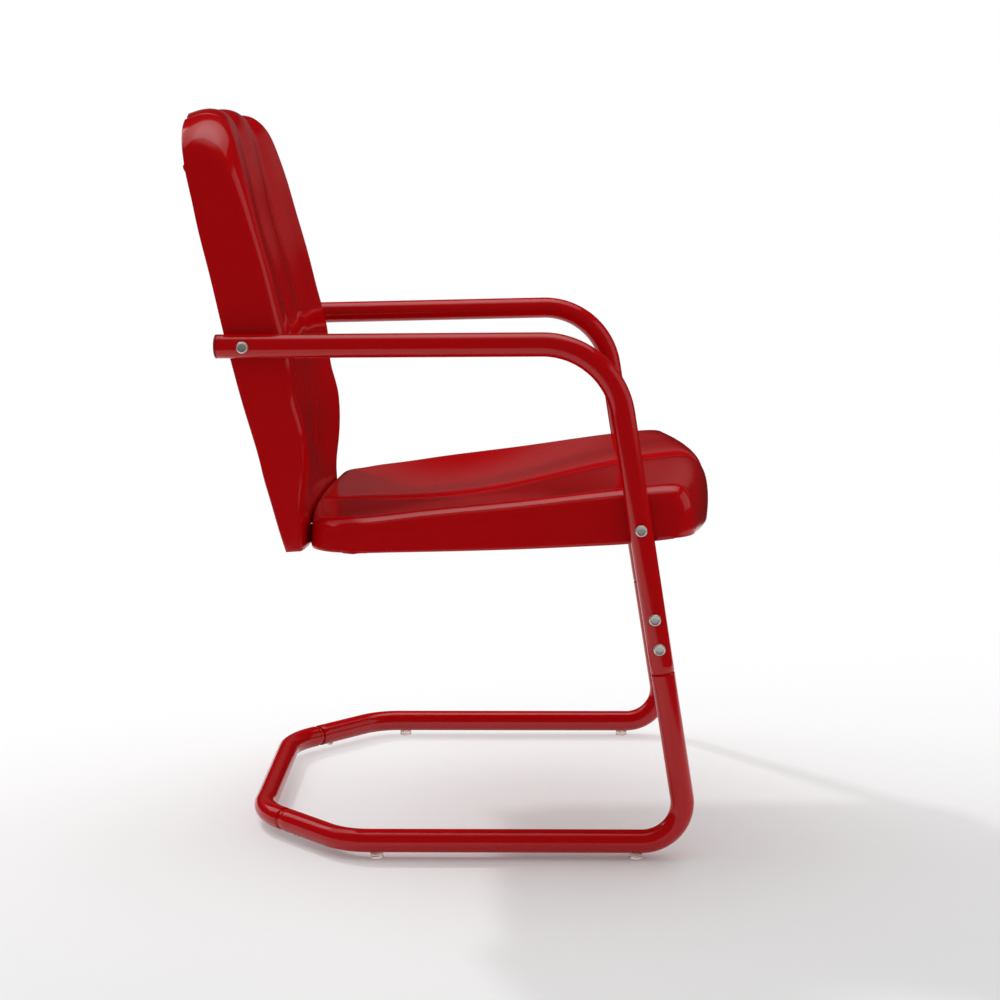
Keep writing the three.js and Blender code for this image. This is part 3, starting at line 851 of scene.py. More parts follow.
@dataclass
class PressedShell:
    """A sheet steel shell pressed over a form, with a flange all round and a rolled hem.

    Rows run across the form and columns run out from its middle, crowded at the grooves,
    then over the crown where the face breaks to the roll's start angle, round the roll and
    down the flange. Lengths are in millimetres.
    """

    layout: Layout
    enamel: bpy.types.Material
    row_pitch: float = 3.4
    face_columns: int = 70
    roll_columns: int = 22
    flange_columns: int = 8
    roll_start: float = 0.0
    crown_radius: float = 0.0
    crown_columns: int = 0
    groove_share: float = 0.5
    valley_share: float = 0.5
    hem_radius: float = 1.6
    hem_steps: int = 6
    hem_blends: int = 120

    name: str = field(default="", init=False)
    node: str = field(default="", init=False)
    measures: dict[str, tuple[float, float]] = field(default_factory=dict, init=False)
    shares: Shares = field(default_factory=list, init=False)

    def rows(self, values: np.ndarray) -> dict[str, np.ndarray]:
        """Turns rows of shares to sizes, each measure by its start and its reach.

        Args:
            values: The shares, by row and by measure.

        Returns:
            Each measure's sizes, by row.
        """
        named = zip(self.measures.items(), values.T)
        sizes = {name: start + share * reach for (name, (start, reach)), share in named}
        sizes.setdefault("middle_z", 0 * sizes["middle_u"])
        sizes.setdefault("depth", sizes["corner"])
        return sizes

    def half(self, rows: dict[str, np.ndarray], forward: np.ndarray) -> np.ndarray:
        """Half width of the shell at a forward place; each shell has its own."""
        raise NotImplementedError

    def relief(self, rows: dict[str, np.ndarray], share: np.ndarray, outer: np.ndarray) -> np.ndarray:
        """Height of the pressed lobes over the plain face; each shell has its own."""
        raise NotImplementedError

    def skin(self) -> np.ndarray:
        """Works out the outer skin.

        Returns:
            Points in metres, by row and by column from the right hem to the left one.
        """
        sizes = self.rows(np.array(self.shares, float))
        steps = np.hypot(np.diff(sizes["ridge_u"]), np.diff(sizes["ridge_z"]))
        knots = np.concatenate([[0.0], np.cumsum(steps)])
        stations = [
            np.linspace(start, end, max(round((end - start) / self.row_pitch), 3), endpoint=False)
            for start, end in zip(knots, knots[1:])
        ]
        values = through_rows(self.shares, knots, np.concatenate([*stations, knots[-1:]]))
        rows = {name: value[:, None] for name, value in self.rows(values).items()}
        across, forward, up = self._half_skin(rows)
        halves = [
            np.stack([side * across, -forward - self.layout.middle, up], axis=-1) * MM for side in (-1, 1)
        ]
        return np.concatenate([halves[0][:, ::-1], halves[1][:, 1:]], axis=1)

    def _half_skin(self, rows: dict[str, np.ndarray]) -> tuple[np.ndarray, np.ndarray, np.ndarray]:
        """Works out one half of the skin.

        Args:
            rows: Each measure's sizes, by row.

        Returns:
            Distance from the middle, forward place and height, by row and column.
        """
        drop_u, drop_z = rows["edge_u"] - rows["ridge_u"], rows["edge_z"] - rows["ridge_z"]
        length = np.hypot(drop_u, drop_z)
        drop_u, drop_z = drop_u / length, drop_z / length
        full = self.half(rows, rows["ridge_u"] + drop_u * rows["depth"])
        first = self.roll_start
        lead = self.crown_radius * math.tan(first / 2)
        face_half = full - rows["corner"] - lead

        face_across = self._face_columns(full, face_half)
        span = face_across / face_half
        valley = self.valley_share * full
        outer = np.clip((face_across - valley) / (face_half - valley), 0, 1)
        lift = self.relief(rows, face_across / full, outer)
        bow = 1 - span**2
        face_u = rows["ridge_u"] + rows["middle_u"] * bow - drop_u * lift
        face_z = rows["ridge_z"] + rows["middle_z"] * bow - drop_z * lift

        turn = np.linspace(0, first, self.crown_columns + 1)[None, 1:]
        angle = np.linspace(first, RIGHT_ANGLE, self.roll_columns + 1)[None, 1:]
        start_across = face_half + self.crown_radius * math.sin(first)
        start_sink = lead * math.sin(first)
        fall = (math.cos(first) - np.cos(angle)) / math.cos(first)
        reach = (np.sin(angle) - math.sin(first)) / (1 - math.sin(first))
        crown_sink = self.crown_radius * (1 - np.cos(turn)) + 0 * full
        sink = np.concatenate([crown_sink, start_sink + (rows["depth"] - start_sink) * fall], axis=1)
        crown_across = face_half + self.crown_radius * np.sin(turn)
        roll_across = np.concatenate([crown_across, start_across + (full - start_across) * reach], axis=1)
        roll_u, roll_z = rows["ridge_u"] + drop_u * sink, rows["ridge_z"] + drop_z * sink

        down = np.linspace(0, 1, self.flange_columns + 1)[None, 1:]
        start_u, start_z = roll_u[:, -1:], roll_z[:, -1:]
        end_across = self.half(rows, rows["edge_u"])
        flange_across = full + (end_across - full) * down
        flange_u = start_u + (rows["edge_u"] - start_u) * down
        flange_z = start_z + (rows["edge_z"] - start_z) * down
        return (
            np.concatenate([face_across, roll_across, flange_across], axis=1),
            np.concatenate([face_u, roll_u, flange_u], axis=1),
            np.concatenate([face_z, roll_z, flange_z], axis=1),
        )

    def _face_columns(self, full: np.ndarray, face_half: np.ndarray) -> np.ndarray:
        """Spaces the face's columns, close together beside the middle and the side groove.

        Args:
            full: The shell's half width, by row.
            face_half: The face's half width, by row.

        Returns:
            The columns' distance from the middle, by row.
        """
        turn = np.linspace(0, math.pi, self.face_columns // 2 + 1)[None, :]
        groove = self.groove_share * full
        inner = groove * (1 - np.cos(turn)) / 2
        outer = groove + (face_half - groove) * (1 - np.cos(turn[:, 1:] / 2))
        return np.concatenate([inner, outer], axis=1)

    def model(self) -> bpy.types.Object:
        """Presses the shell, rolls its hem and gives it its thickness.

        Returns:
            The finished shell.
        """
        points = self.skin()
        rows, columns = points.shape[:2]
        bpy.ops.object.select_all(action="DESELECT")
        bpy.ops.mesh.primitive_grid_add(x_subdivisions=columns - 1, y_subdivisions=rows - 1, size=1.0)
        shell = added(self.name)
        shell.data.vertices.foreach_set("co", points.reshape(-1).astype(np.float32))
        shell.data.update()
        with editing(shell):
            bpy.ops.mesh.select_all(action="SELECT")
            bpy.ops.mesh.normals_make_consistent(inside=False)
            self._roll_hem(shell)
        modify(shell, "SOLIDIFY", thickness=self.layout.sheet * MM, offset=-1.0, use_rim=True)
        smooth(shell)
        return shell

    def _rim(self, mesh: bmesh.types.BMesh, edges: list[bmesh.types.BMEdge]) -> Rim:
        """Finds how each vertex of the free edge faces outwards, blended along the edge.

        Args:
            mesh: The shell's mesh.
            edges: The free edge's edges.

        Returns:
            Each vertex's outward direction in the sheet, and its normal.
        """
        rim = {}
        for vert in mesh.verts:
            beside = [edge.other_vert(vert) for edge in vert.link_edges if edge.is_boundary]
            if not beside:
                continue
            tangent = beside[1].co - beside[0].co
            middle = sum((face.calc_center_median() for face in vert.link_faces), Vector())
            inner = middle / len(vert.link_faces) - vert.co
            normal = vert.normal.copy()
            out = tangent.cross(normal).normalized()
            if out.dot(inner) > 0:
                out.negate()
            rim[vert] = (out, normal)
        for _ in range(self.hem_blends):
            blended = {vert: out.copy() for vert, (out, _) in rim.items()}
            for one, other in (edge.verts for edge in edges):
                blended[one] += rim[other][0]
                blended[other] += rim[one][0]
            rim = {vert: (blended[vert].normalized(), normal) for vert, (_, normal) in rim.items()}
        return rim

    def _roll_hem(self, shell: bpy.types.Object) -> None:
        """Extrudes the free edge round a small inward curl, in edit mode.

        Args:
            shell: The shell.
        """
        mesh = bmesh.from_edit_mesh(shell.data)
        mesh.normal_update()
        edges = [edge for edge in mesh.edges if edge.is_boundary]
        radius = self.hem_radius * MM
        rim = {}
        for vert, (out, normal) in self._rim(mesh, edges).items():
            vert.co -= out * radius
            rim[vert] = (vert.co.copy(), out, normal)
        for step in range(1, self.hem_steps + 1):
            angle = math.pi * step / self.hem_steps
            made = bmesh.ops.extrude_edge_only(mesh, edges=edges)["geom"]
            fresh = [part for part in made if isinstance(part, bmesh.types.BMVert)]
            edges = [part for part in made if isinstance(part, bmesh.types.BMEdge)]
            following = {}
            for vert in fresh:
                old = next(other for edge in vert.link_edges if (other := edge.other_vert(vert)) in rim)
                start, out, normal = rim[old]
                vert.co = start + out * radius * math.sin(angle) - normal * radius * (1 - math.cos(angle))
                following[vert] = rim[old]
            rim = following
        bmesh.update_edit_mesh(shell.data)

    def build(self) -> None:
        """Models the shell and sets it over its CAD node."""
        install(self.model(), self.enamel, Body.UPPER, self.node)


@dataclass
class BackShell(PressedShell):
    """The pressed back: four upright lobes, flared at the shoulders and drawn in at the waist."""

    foot: float = 348.0
    top: float = 844.5
    foot_forward: float = -231.5
    rake: float = 138.0
    bow: float = 27.0
    corner_radius: float = 53.0
    pleat_depth: float = 7.0
    crest_rise: float = 7.7
    valley_depth: float = 7.0
    crest_fade: tuple[float, float] = (0.44, 0.56)
    outer_crest: float = 0.75
    softness: float = 0.09
    roll_start: float = math.radians(25)
    crown_radius: float = 4.0
    crown_columns: int = 4

    def __post_init__(self) -> None:
        """Sets the measures, and their shares in rows from the top flange's rear to the foot.

        They are: rake and height of the front ridge, rake and height of the rear edge, width,
        bow, corner width, corner depth, pleat depth, rise of the two inner lobes and depth of
        the side valley.
        """
        self.name, self.node = "back_pressing", "back_shell"
        tall = self.top - self.foot
        self.measures = {
            "ridge_u": (self.foot_forward, -self.rake),
            "ridge_z": (self.foot, tall),
            "edge_u": (self.foot_forward, -self.rake),
            "edge_z": (self.foot, tall),
            "width": (0, self.layout.back_width / 2),
            "middle_u": (0, -self.bow),
            "corner": (0, self.corner_radius),
            "depth": (0, self.corner_radius),
            "pleat": (0, self.pleat_depth),
            "rise": (0, self.crest_rise),
            "valley": (0, self.valley_depth),
        }
        self.shares = [
            (1, 0.9851, 0.932, 0.878, 1, 0.3, 1.19, 1, 1, 1, 0),
            (0.822, 0.9982, 0.93, 0.874, 1, 0.33, 1.18, 1, 1, 0.92, 0),
            (0.717, 0.9934, 0.929, 0.87, 1, 0.36, 1.13, 1, 1, 0.75, 0),
            (0.649, 0.9807, 0.923, 0.86, 1, 0.43, 1.02, 0.93, 0.96, 0.65, 0),
            (0.581, 0.9547, 0.913, 0.846, 1, 0.5, 0.8, 0.74, 0.9, 0.5, 0),
            (0.52, 0.9096, 0.898, 0.826, 1, 0.56, 0.56, 0.45, 0.84, 0.35, 0),
            (0.434, 0.828, 0.871, 0.788, 1, 0.6, 0.36, 0.28, 0.8, 0.15, 0),
            (0.362, 0.749, 0.834, 0.735, 1, 0.62, 0.28, 0.22, 0.8, 0, 0),
            (0.262, 0.645, 0.751, 0.636, 1, 0.62, 0.26, 0.2, 0.8, 0, 0.05),
            (0.166, 0.532, 0.661, 0.52, 1, 0.62, 0.26, 0.2, 0.8, 0, 0.25),
            (0.092, 0.441, 0.583, 0.429, 1, 0.63, 0.26, 0.2, 0.8, 0, 0.45),
            (0.06, 0.346, 0.501, 0.336, 0.99, 0.68, 0.26, 0.2, 0.8, 0, 0.7),
            (0.004, 0.286, 0.436, 0.27, 0.98, 0.8, 0.26, 0.2, 0.78, 0, 0.88),
            (-0.015, 0.234, 0.385, 0.216, 0.975, 0.93, 0.27, 0.2, 0.7, 0, 1),
            (-0.014, 0.185, 0.347, 0.167, 0.97, 1, 0.3, 0.19, 0.58, 0, 1),
            (-0.002, 0.141, 0.305, 0.123, 0.965, 0.88, 0.38, 0.18, 0.42, 0, 0.75),
            (0.01, 0.097, 0.264, 0.079, 0.96, 0.6, 0.55, 0.16, 0.22, 0, 0.35),
            (0, 0.044, 0.214, 0.028, 0.955, 0.32, 0.8, 0.14, 0.05, 0, 0),
            (0, 0, 0.179, -0.004, 0.95, 0.32, 0.86, 0.14, 0, 0, 0),
        ]

    def half(self, rows: dict[str, np.ndarray], forward: np.ndarray) -> np.ndarray:
        """Half width, which follows the arms as they draw together."""
        return rows["width"] + (forward - self.layout.back_bolt_forward) * self.layout.convergence

    def relief(self, rows: dict[str, np.ndarray], share: np.ndarray, outer: np.ndarray) -> np.ndarray:
        """Height of the lobes over the plain face.

        Args:
            rows: Each measure's sizes, by row.
            share: Distance from the middle, as a share of the half width.
            outer: Place between the side valley's inner edge, at 0, and the face's edge, at 1.

        Returns:
            The height, by row and column.
        """
        wave = np.abs(np.sin(2 * math.pi * share))
        lobe = np.minimum(np.hypot(wave, self.softness), 1)
        inner = 1 - smoothstep(share, *self.crest_fade)
        groove = np.where(share > self.outer_crest, 0, (1 - lobe) * rows["pleat"])
        return inner * rows["rise"] - groove - np.sin(math.pi * outer) * rows["valley"]


@dataclass
class SeatShell(PressedShell):
    """The pressed seat: dished, grooved down the middle and rolled over at the front."""

    foot_forward: float = -229.5
    length: float = 442.3
    skirt: float = 81.5
    bottom: float = 348.5
    taper: float = math.radians(5)
    bow: float = 26.0
    dish: float = 17.5
    corner_radius: float = 48.0
    groove_depth: float = 4.5
    groove_width: float = 22.0
    seat_bolt_height: float = 384.0
    valley_share: float = 0.4

    def __post_init__(self) -> None:
        """Sets the measures, and their shares in rows from the rear flange's foot to the front's.

        They are: length and skirt of the upper ridge, length and skirt of the lower edge, bow,
        dish, corner radius and groove depth.
        """
        self.name, self.node = "seat_pressing", "seat_shell"
        self.measures = {
            "ridge_u": (self.foot_forward, self.length),
            "ridge_z": (self.bottom, self.skirt),
            "edge_u": (self.foot_forward, self.length),
            "edge_z": (self.bottom, self.skirt),
            "middle_u": (0, self.bow),
            "middle_z": (0, -self.dish),
            "corner": (0, self.corner_radius),
            "groove": (0, self.groove_depth),
        }
        self.shares = [
            (0, 0, 0.121, 0, -0.392, 0, 0.938, 0),
            (0, 0.141, 0.124, 0, -0.392, 0, 0.938, 0),
            (0.002, 0.252, 0.129, 0, -0.385, 0, 0.938, 0),
            (0.007, 0.356, 0.135, 0, -0.358, 0.086, 0.938, 0.3),
            (0.023, 0.415, 0.144, 0, -0.288, 0.314, 0.896, 0.7),
            (0.055, 0.443, 0.159, 0, -0.154, 0.457, 0.812, 1),
            (0.107, 0.469, 0.187, 0.006, -0.058, 0.531, 0.56, 1),
            (0.18, 0.51, 0.229, 0.015, 0, 0.703, 0.46, 1),
            (0.302, 0.595, 0.311, 0.031, 0, 0.971, 0.42, 1),
            (0.422, 0.669, 0.422, 0.055, 0, 1, 0.4, 1),
            (0.541, 0.742, 0.537, 0.085, 0, 0.8, 0.4, 1),
            (0.664, 0.828, 0.65, 0.121, 0.038, 0.457, 0.4, 1),
            (0.781, 0.91, 0.763, 0.161, 0.077, 0.171, 0.42, 1.1),
            (0.872, 0.967, 0.835, 0.19, 0.2, 0, 0.45, 1.3),
            (0.933, 0.994, 0.863, 0.209, 0.45, -0.1, 0.5, 1.5),
            (0.96, 0.975, 0.874, 0.218, 0.76, -0.2, 0.54, 1.5),
            (0.979, 0.896, 0.882, 0.227, 0.97, -0.171, 0.55, 1.4),
            (0.992, 0.755, 0.887, 0.233, 1.06, -0.057, 0.55, 1.1),
            (0.999, 0.571, 0.891, 0.239, 1.06, 0.114, 0.56, 0.7),
            (1.001, 0.399, 0.893, 0.245, 1.03, 0.28, 0.58, 0.3),
            (1, 0.282, 0.895, 0.252, 1, 0.5, 0.6, 0),
        ]

    def half(self, rows: dict[str, np.ndarray], forward: np.ndarray) -> np.ndarray:
        """Half width, which narrows behind the legs.

        Args:
            rows: Each measure's sizes, by row.
            forward: The forward place.

        Returns:
            The half width.
        """
        full = self.layout.leg_forward(self.seat_bolt_height) - self.layout.tube_diameter
        behind = np.maximum(full - forward, 0)
        return self.layout.seat_width / 2 - behind * math.tan(self.taper)

    def relief(self, rows: dict[str, np.ndarray], share: np.ndarray, outer: np.ndarray) -> np.ndarray:
        """Depth of the centre groove."""
        return -rows["groove"] * np.exp(-share * self.layout.seat_width / self.groove_width)


# Hardware


@dataclass(frozen=True)
class BoltSize:
    """Sizes of a round-headed bolt with a hex socket, in millimetres."""

    shank: float
    diameter: float = 6.0
    head: float = 13.4
    height: float = 3.6
    socket: float = 4.0
    socket_depth: float = 2.2


@dataclass(frozen=True)
class ScrewSize(BoltSize):
    """Sizes of a screw under the cross tube, in millimetres."""

    diameter: float = 4.0
    head: float = 8.0
    height: float = 2.4
    socket: float = 2.5
    socket_depth: float = 1.5


@dataclass
class Hardware:
    """The bolts, screws, nuts, plugs and glides."""

    layout: Layout
    frame: SpringFrame
    zinc: bpy.types.Material
    vinyl: bpy.types.Material
    plastic: bpy.types.Material
    facets: int = 48
    plug_spigot: float = 14.0
    plug_disc: float = 2.5
    plug_round: float = 0.8
    glide_radius: float = 7.5
    glide_height: float = 6.0
    glide_round: float = 1.0
    stem_radius: float = 2.5
    stem_length: float = 5.0
    leg_bolts: dict[str, float] = field(
        default_factory=lambda: {"seat_bolt": 384.0, "leg_bolt_upper": 282.5, "leg_bolt_lower": 248.5}
    )
    head_profile: tuple[tuple[float, float], ...] = (
        (1, 0.0),
        (1, 0.3),
        (0.985, 0.5),
        (0.94, 0.74),
        (0.87, 0.93),
        (0.79, 1.0),
        (0.72, 0.94),
        (0.68, 0.7),
        (0.66, 0.42),
        (0.6, 0.4),
    )

    def build(self) -> None:
        """Models each piece of hardware once, copies it to its places and finishes the nuts."""
        self._install_bolts()
        self._install_screws()
        self._install_plugs()
        self._install_glides()
        self._finish_nuts()

    def model_bolt(self, name: str, size: BoltSize) -> bpy.types.Object:
        """Models a bolt along +Z, the underside of its head at the origin.

        Args:
            name: The bolt's name.
            size: Its sizes.

        Returns:
            The bolt.
        """
        bolt = add_rod(name, size.diameter / 2, -size.shank, 0, self.facets)
        with editing(bolt):
            open_top(bolt)
            radius, at = size.diameter / size.head, 0.0
            for share, level in self.head_profile:
                lift_top((level - at) * size.height)
                bpy.ops.transform.resize(value=(share / radius,) * 2 + (1,), center_override=(0, 0, 0))
                radius, at = share, level
        self._cut_socket(bolt, size)
        smooth(bolt)
        return bolt

    @staticmethod
    def _cut_socket(bolt: bpy.types.Object, size: BoltSize) -> None:
        """Cuts the hex socket into a bolt's head.

        Args:
            bolt: The bolt.
            size: Its sizes.
        """
        bottom, top = size.height - size.socket_depth, size.height + size.socket_depth
        cutter = add_rod("socket_cutter", size.socket / math.sqrt(3), bottom, top, 6)
        modify(bolt, "BOOLEAN", object=cutter, operation="DIFFERENCE", solver="EXACT")
        remove(cutter)

    def _install_bolts(self) -> None:
        """The bolts through the tubes, and those between the seat and the back."""
        proud = self.layout.tube_radius + self.layout.gap
        for side in Side:
            straight = Vector((side.value, 0, 0))
            inward = Vector((side.value, self.layout.convergence, 0)).normalized()
            places = {
                f"{name}_{side.word}": (self.layout.on_leg(side, height), straight)
                for name, height in self.leg_bolts.items()
            }
            on_back = self.layout.on_arm(side, self.layout.back_bolt_forward)
            places[f"back_bolt_{side.word}"] = (on_back, inward)
            for node, (centre, direction) in places.items():
                self._place_bolt(node, centre + direction * proud * MM, direction)
            node = f"seat_back_bolt_{side.word}"
            low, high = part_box(node)
            start = (low + high) / 2
            start.y = high.y - BoltSize.height * MM
            self._place_bolt(node, start, Vector((0, 1, 0)))

    def _place_bolt(self, node: str, start: Vector, direction: Vector) -> None:
        """Models a bolt as long as its CAD node, and sets it in its place.

        Args:
            node: The CAD node.
            start: Where the underside of its head goes, in metres.
            direction: Where its head points.
        """
        spans = [vert.co.dot(direction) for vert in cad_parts[node].data.vertices]
        size = BoltSize(shank=(max(spans) - min(spans)) / MM - BoltSize.height)
        master = self.model_bolt("bolt", size)
        bolt = placed_copy(master, f"{node}_plated", start, direction)
        remove(master)
        install(bolt, self.zinc, Body.UPPER, node)

    def _install_screws(self) -> None:
        """The screws that hold the cross tube from below."""
        low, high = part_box("base_screw_right")
        size = ScrewSize(shank=(high.z - low.z) / MM - ScrewSize.height)
        master = self.model_bolt("base_screw", size)
        for side in Side:
            node = f"base_screw_{side.word}"
            low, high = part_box(node)
            start = (low + high) / 2
            start.z = low.z + size.height * MM
            screw = placed_copy(master, f"{node}_plated", start, -UP)
            install(screw, self.zinc, Body.BASE, node)
        remove(master)

    def _install_plugs(self) -> None:
        """The plugs in the arms' rear ends."""
        gap, bore = self.layout.gap, self.frame.neck
        master = add_rod("plug", bore, -self.plug_spigot, gap, self.facets)
        wide = self.layout.tube_radius / bore
        with editing(master):
            open_top(master)
            bpy.ops.transform.resize(value=(wide, wide, 1), center_override=(0, 0, 0))
            lift_top(self.plug_disc - gap)
        round_edges(master, self.plug_round, 4)
        smooth(master)
        for side in Side:
            tail = self.layout.on_arm(side, self.layout.back_bolt_forward - self.frame.arm_tail)
            front = self.layout.on_arm(side, self.layout.leg_forward(self.layout.arm_height))
            plug = placed_copy(master, f"end_plug_{side.word}", tail, (tail - front).normalized())
            install(plug, self.plastic, Body.UPPER, f"arm_end_plug_{side.word}")
        remove(master)

    def _install_glides(self) -> None:
        """The clear glides under the floor rails."""
        master = add_rod("glide", self.glide_radius, 0, self.glide_height, self.facets)
        with editing(master):
            open_top(master, self.glide_radius - self.stem_radius)
            lift_top(self.stem_length)
        round_edges(master, self.glide_round, 4)
        smooth(master)
        for side in Side:
            for end in ("front", "rear"):
                node = f"glide_{end}_{side.word}"
                low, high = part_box(node)
                start = (low + high) / 2
                start.z = 0.0
                glide = placed_copy(master, f"{node}_button", start, UP)
                install(glide, self.vinyl, Body.BASE, node)
        remove(master)

    def _finish_nuts(self) -> None:
        """Plates the nuts, whose CAD solids are shown as they are."""
        for name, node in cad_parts.items():
            if "_nut_" in name:
                node.data.materials.clear()
                node.data.materials.append(self.zinc)


# Studio


@dataclass(frozen=True)
class Lamp:
    """A rectangular lamp: its place, aim and size in metres, its spread in degrees and its watts."""

    name: str
    place: tuple[float, float, float]
    aim: tuple[float, float, float]
    size: tuple[float, float]
    spread: float
    power: float
    mirrored: bool = True


@dataclass
class Studio:
    """The pale floor, the soft lamps, the white surroundings, the dark cloth and the camera."""

    eye: Vector
    forward: Vector
    roll: float
    focal_px: float
    frame_px: float = 1000.0
    sensor: float = 36.0
    clip_end: float = 60.0
    fill: float = 0.62
    floor_colour: str = "#ededed"
    floor_size: float = 40.0
    floor_drop: float = 0.0002
    floor_roughness: float = 0.6
    floor_gloss: float = 0.2
    spot_shift: tuple[float, float, float] = (0.55, 0.25, 0)
    spot_scale: tuple[float, float, float] = (0.62, 0.42, 1)
    spot_edge: tuple[float, float] = (0.35, 1.1)
    cloth_sides: int = 96
    cloth_centre: float = 0.5
    cloth_lift: float = 0.01
    cloth_radius: float = 3.0
    cloth_height: float = 11.0
    cloth_opening: float = 1.5
    cloth_fade: float = 0.4
    cloth_glow: float = 0.012
    band_glow: float = 0.085
    band_foot: tuple[float, float] = (0.88, 1.15)
    band_top: tuple[float, float] = (1.9, 1.5)
    band_reach: tuple[float, float] = (1.0, 3.0)
    lamps: tuple[Lamp, ...] = (
        Lamp("overhead", (0.7, 0.6, 2.9), (0.7, 0.6, 0.0), (2.2, 4.8), 120.0, 22.0),
        Lamp("key", (2.0, 1.66, 2.6), (0.0, 0.0, 0.2), (0.25, 0.25), 180.0, 38.0, mirrored=False),
        Lamp("front_card", (-0.3, -2.4, 1.4), (-0.3, 0.0, 1.2), (2.2, 1.8), 180.0, 8.0),
        Lamp("rear_card", (1.4, 2.3, 2.2), (0.0, 0.2, 0.8), (1.4, 1.4), 180.0, 10.0),
    )

    def build(self) -> None:
        """Sets up the whole studio."""
        self._set_camera()
        self._set_world()
        self._lay_floor()
        self._hang_cloth()
        self._hang_lamps()
        bpy.context.scene.view_settings.view_transform = "Standard"

    def _set_camera(self) -> None:
        """Sets the camera at the photograph's viewpoint."""
        right = self.forward.cross(UP).normalized()
        up = right.cross(self.forward).normalized()
        turned = right * math.cos(self.roll) + up * math.sin(self.roll)
        up = up * math.cos(self.roll) - right * math.sin(self.roll)
        data = bpy.data.cameras.new("studio_camera")
        data.sensor_width = self.sensor
        data.lens = self.focal_px * self.sensor / self.frame_px
        data.clip_end = self.clip_end
        camera = bpy.data.objects.new("studio_camera", data)
        bpy.context.scene.collection.objects.link(camera)
        axes = Matrix((turned, up, -self.forward)).transposed()
        camera.matrix_world = Matrix.Translation(self.eye) @ axes.to_4x4()
        bpy.context.scene.camera = camera

    @staticmethod
    def _seen_directly(tree: bpy.types.NodeTree) -> bpy.types.NodeSocket:
        """Tells the camera's rays, and those that gloss or glass sends on, from the others.

        Args:
            tree: The node tree.

        Returns:
            A socket that is 1 for these rays and 0 for the others.
        """
        rays = add_node(tree, "ShaderNodeLightPath").outputs
        seen, highest = rays["Is Camera Ray"], {"operation": "MAXIMUM"}
        for kind in ("Is Glossy Ray", "Is Transmission Ray"):
            seen = add_node(tree, "ShaderNodeMath", highest, _0=seen, _1=rays[kind]).outputs[0]
        return seen

    def _set_world(self) -> None:
        """White surroundings where they are seen, and a plain soft fill elsewhere."""
        world = bpy.data.worlds.new("studio_world")
        world.use_nodes = True
        tree = world.node_tree
        tree.nodes.clear()
        seen = self._seen_directly(tree)
        fill, full = (
            add_node(tree, "ShaderNodeBackground", Color=linear(WHITE), Strength=strength).outputs[0]
            for strength in (self.fill, 1.0)
        )
        mixed = add_node(tree, "ShaderNodeMixShader", _0=seen, _1=fill, _2=full)
        add_node(tree, "ShaderNodeOutputWorld", Surface=mixed.outputs[0])
        bpy.context.scene.world = world

    def _lay_floor(self) -> None:
        """A pale matt floor that fades to the white surroundings away from the chair."""
        bpy.ops.object.select_all(action="DESELECT")
        bpy.ops.mesh.primitive_plane_add(size=self.floor_size, location=(0, 0, -self.floor_drop))
        floor = added("studio_floor")
        material, tree, shader = new_material("studio_floor")
        feed(shader, Base_Color=linear(self.floor_colour), Roughness=self.floor_roughness)
        feed(shader, Specular_IOR_Level=self.floor_gloss)
        where = add_node(tree, "ShaderNodeTexCoord").outputs["Object"]
        shift, scale = self.spot_shift, self.spot_scale
        spot = add_node(tree, "ShaderNodeMapping", Vector=where, Location=shift, Scale=scale).outputs[0]
        reach = add_node(tree, "ShaderNodeVectorMath", {"operation": "LENGTH"}, _0=spot).outputs["Value"]
        start, end = self.spot_edge
        fade = add_node(tree, "ShaderNodeMapRange", SOFT, Value=reach, From_Min=start, From_Max=end)
        seen = self._seen_directly(tree)
        share = add_node(tree, "ShaderNodeMath", TIMES, _0=fade.outputs[0], _1=seen).outputs[0]
        white = add_node(tree, "ShaderNodeEmission", Color=linear(WHITE), Strength=1.0).outputs[0]
        mixed = add_node(tree, "ShaderNodeMixShader", _0=share, _1=shader.outputs[0], _2=white)
        feed(tree.nodes["Material Output"], Surface=mixed.outputs[0])
        floor.data.materials.append(material)

    def _hang_cloth(self) -> None:
        """Dark cloth hung and laid all round the set, with a paler band high on the far side.

        Only gloss sees it, so it neither shades the chair nor shows behind it.
        """
        middle = self.cloth_height / 2
        bpy.ops.object.select_all(action="DESELECT")
        bpy.ops.mesh.primitive_cylinder_add(
            vertices=self.cloth_sides,
            radius=self.cloth_radius,
            depth=self.cloth_height,
            end_fill_type="NOTHING",
            location=(self.cloth_centre, 0, middle + self.cloth_lift),
        )
        cloth = added("studio_cloth")
        with editing(cloth):
            mesh = bmesh.from_edit_mesh(cloth.data)
            foot = [edge for edge in mesh.edges if all(vert.co.z < middle for vert in edge.verts)]
            made = bmesh.ops.extrude_edge_only(mesh, edges=foot)["geom"]
            for vert in (part for part in made if isinstance(part, bmesh.types.BMVert)):
                vert.co.xy *= self.cloth_opening / self.cloth_radius
            bmesh.update_edit_mesh(cloth.data)
        material, tree, shader = new_material("studio_cloth")
        tree.nodes.remove(shader)
        where = add_node(tree, "ShaderNodeTexCoord").outputs["Object"]
        spot = add_node(tree, "ShaderNodeSeparateXYZ", Vector=where).outputs
        low, high, far = (
            add_node(tree, "ShaderNodeMapRange", Value=value, From_Min=start, From_Max=end, To_Max=most)
            for value, (start, end), most in (
                (spot["Z"], self.band_foot, 1.0),
                (spot["Z"], self.band_top, 1.0),
                (spot["X"], self.band_reach, self.band_glow),
            )
        )
        band = add_node(tree, "ShaderNodeMath", TIMES, _0=low.outputs[0], _1=high.outputs[0])
        glow = add_node(
            tree,
            "ShaderNodeMath",
            {"operation": "MULTIPLY_ADD"},
            _0=band.outputs[0],
            _1=far.outputs[0],
            _2=self.cloth_glow,
        ).outputs[0]
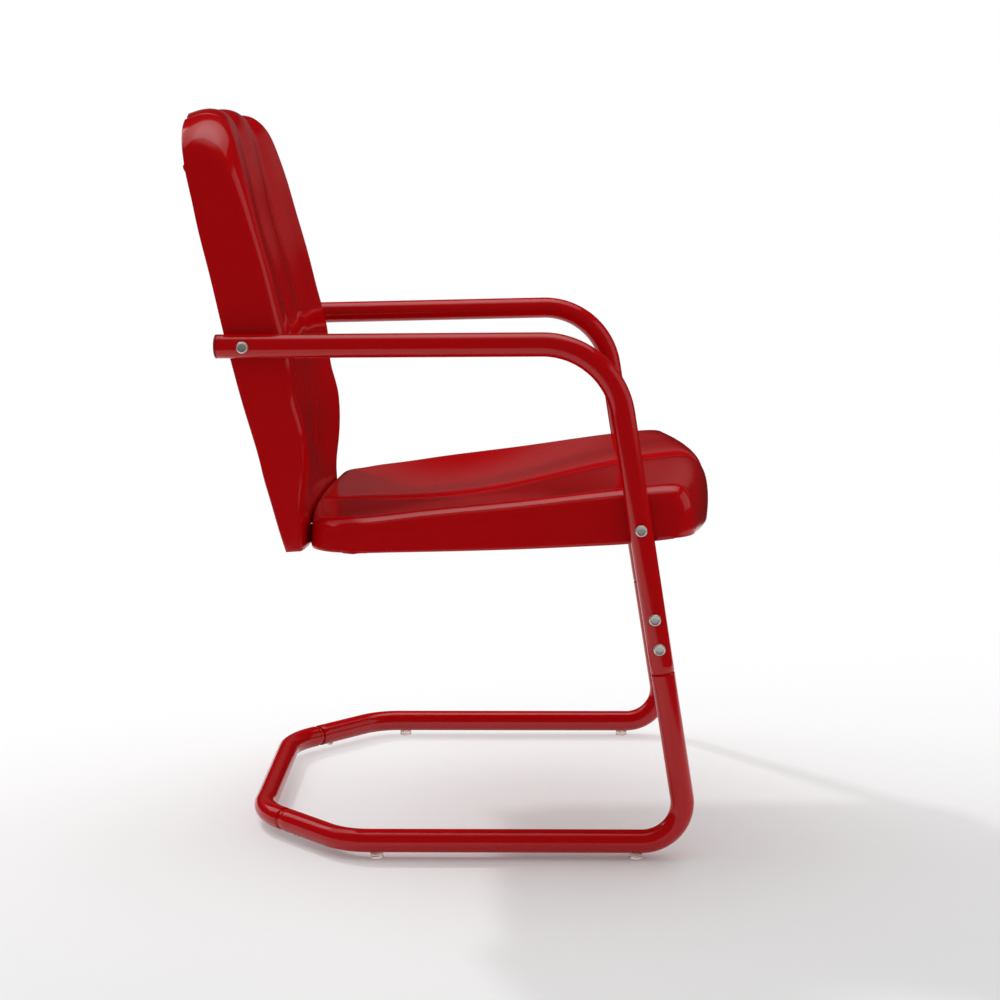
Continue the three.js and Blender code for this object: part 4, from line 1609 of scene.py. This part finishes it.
        start, end = self.cloth_height * self.cloth_fade, self.cloth_height
        edge = add_node(tree, "ShaderNodeMapRange", SOFT, Value=spot["Z"], From_Min=start, From_Max=end)
        lit = add_node(tree, "ShaderNodeEmission", Color=linear(WHITE), Strength=glow).outputs[0]
        clear = add_node(tree, "ShaderNodeBsdfTransparent").outputs[0]
        mixed = add_node(tree, "ShaderNodeMixShader", _0=edge.outputs[0], _1=lit, _2=clear)
        feed(tree.nodes["Material Output"], Surface=mixed.outputs[0])
        cloth.data.materials.append(material)
        for kind in ("camera", "diffuse", "shadow", "transmission"):
            setattr(cloth, f"visible_{kind}", False)

    def _hang_lamps(self) -> None:
        """A long panel overhead, a key from behind on the far side, and a card before and behind."""
        for lamp in self.lamps:
            data = bpy.data.lights.new(lamp.name, "AREA")
            data.shape = "RECTANGLE"
            data.size, data.size_y = lamp.size
            data.spread = math.radians(lamp.spread)
            data.energy = lamp.power
            hung = bpy.data.objects.new(lamp.name, data)
            hung.location = lamp.place
            hung.rotation_mode = "QUATERNION"
            hung.rotation_quaternion = (Vector(lamp.place) - Vector(lamp.aim)).to_track_quat("Z", "Y")
            hung.visible_glossy = lamp.mirrored
            bpy.context.scene.collection.objects.link(hung)


def corners(low: Vector, high: Vector) -> list[list[float]]:
    """Two corners of a box as plain lists."""
    return [list(low), list(high)]


def main() -> None:
    """Builds the chair piece by piece, then the studio."""
    logging.basicConfig(level=logging.INFO, format="%(name)s %(message)s")
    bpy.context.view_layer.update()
    layout = measure_layout()
    enamel = GlossEnamel().build()
    zinc = ZincPlate().build()
    frame = SpringFrame(layout, enamel)
    frame.build()
    BackShell(layout, enamel).build()
    SeatShell(layout, enamel).build()
    Hardware(layout, frame, zinc, ClearVinyl().build(), MouldedPlastic().build()).build()
    Studio(
        eye=Vector((-2.6252, -0.1166, 0.8258)),
        forward=Vector((0.98518, 0.02303, -0.16999)).normalized(),
        roll=-0.00504,
        focal_px=2155.0,
    ).build()


if __name__ == "__main__":
    main()
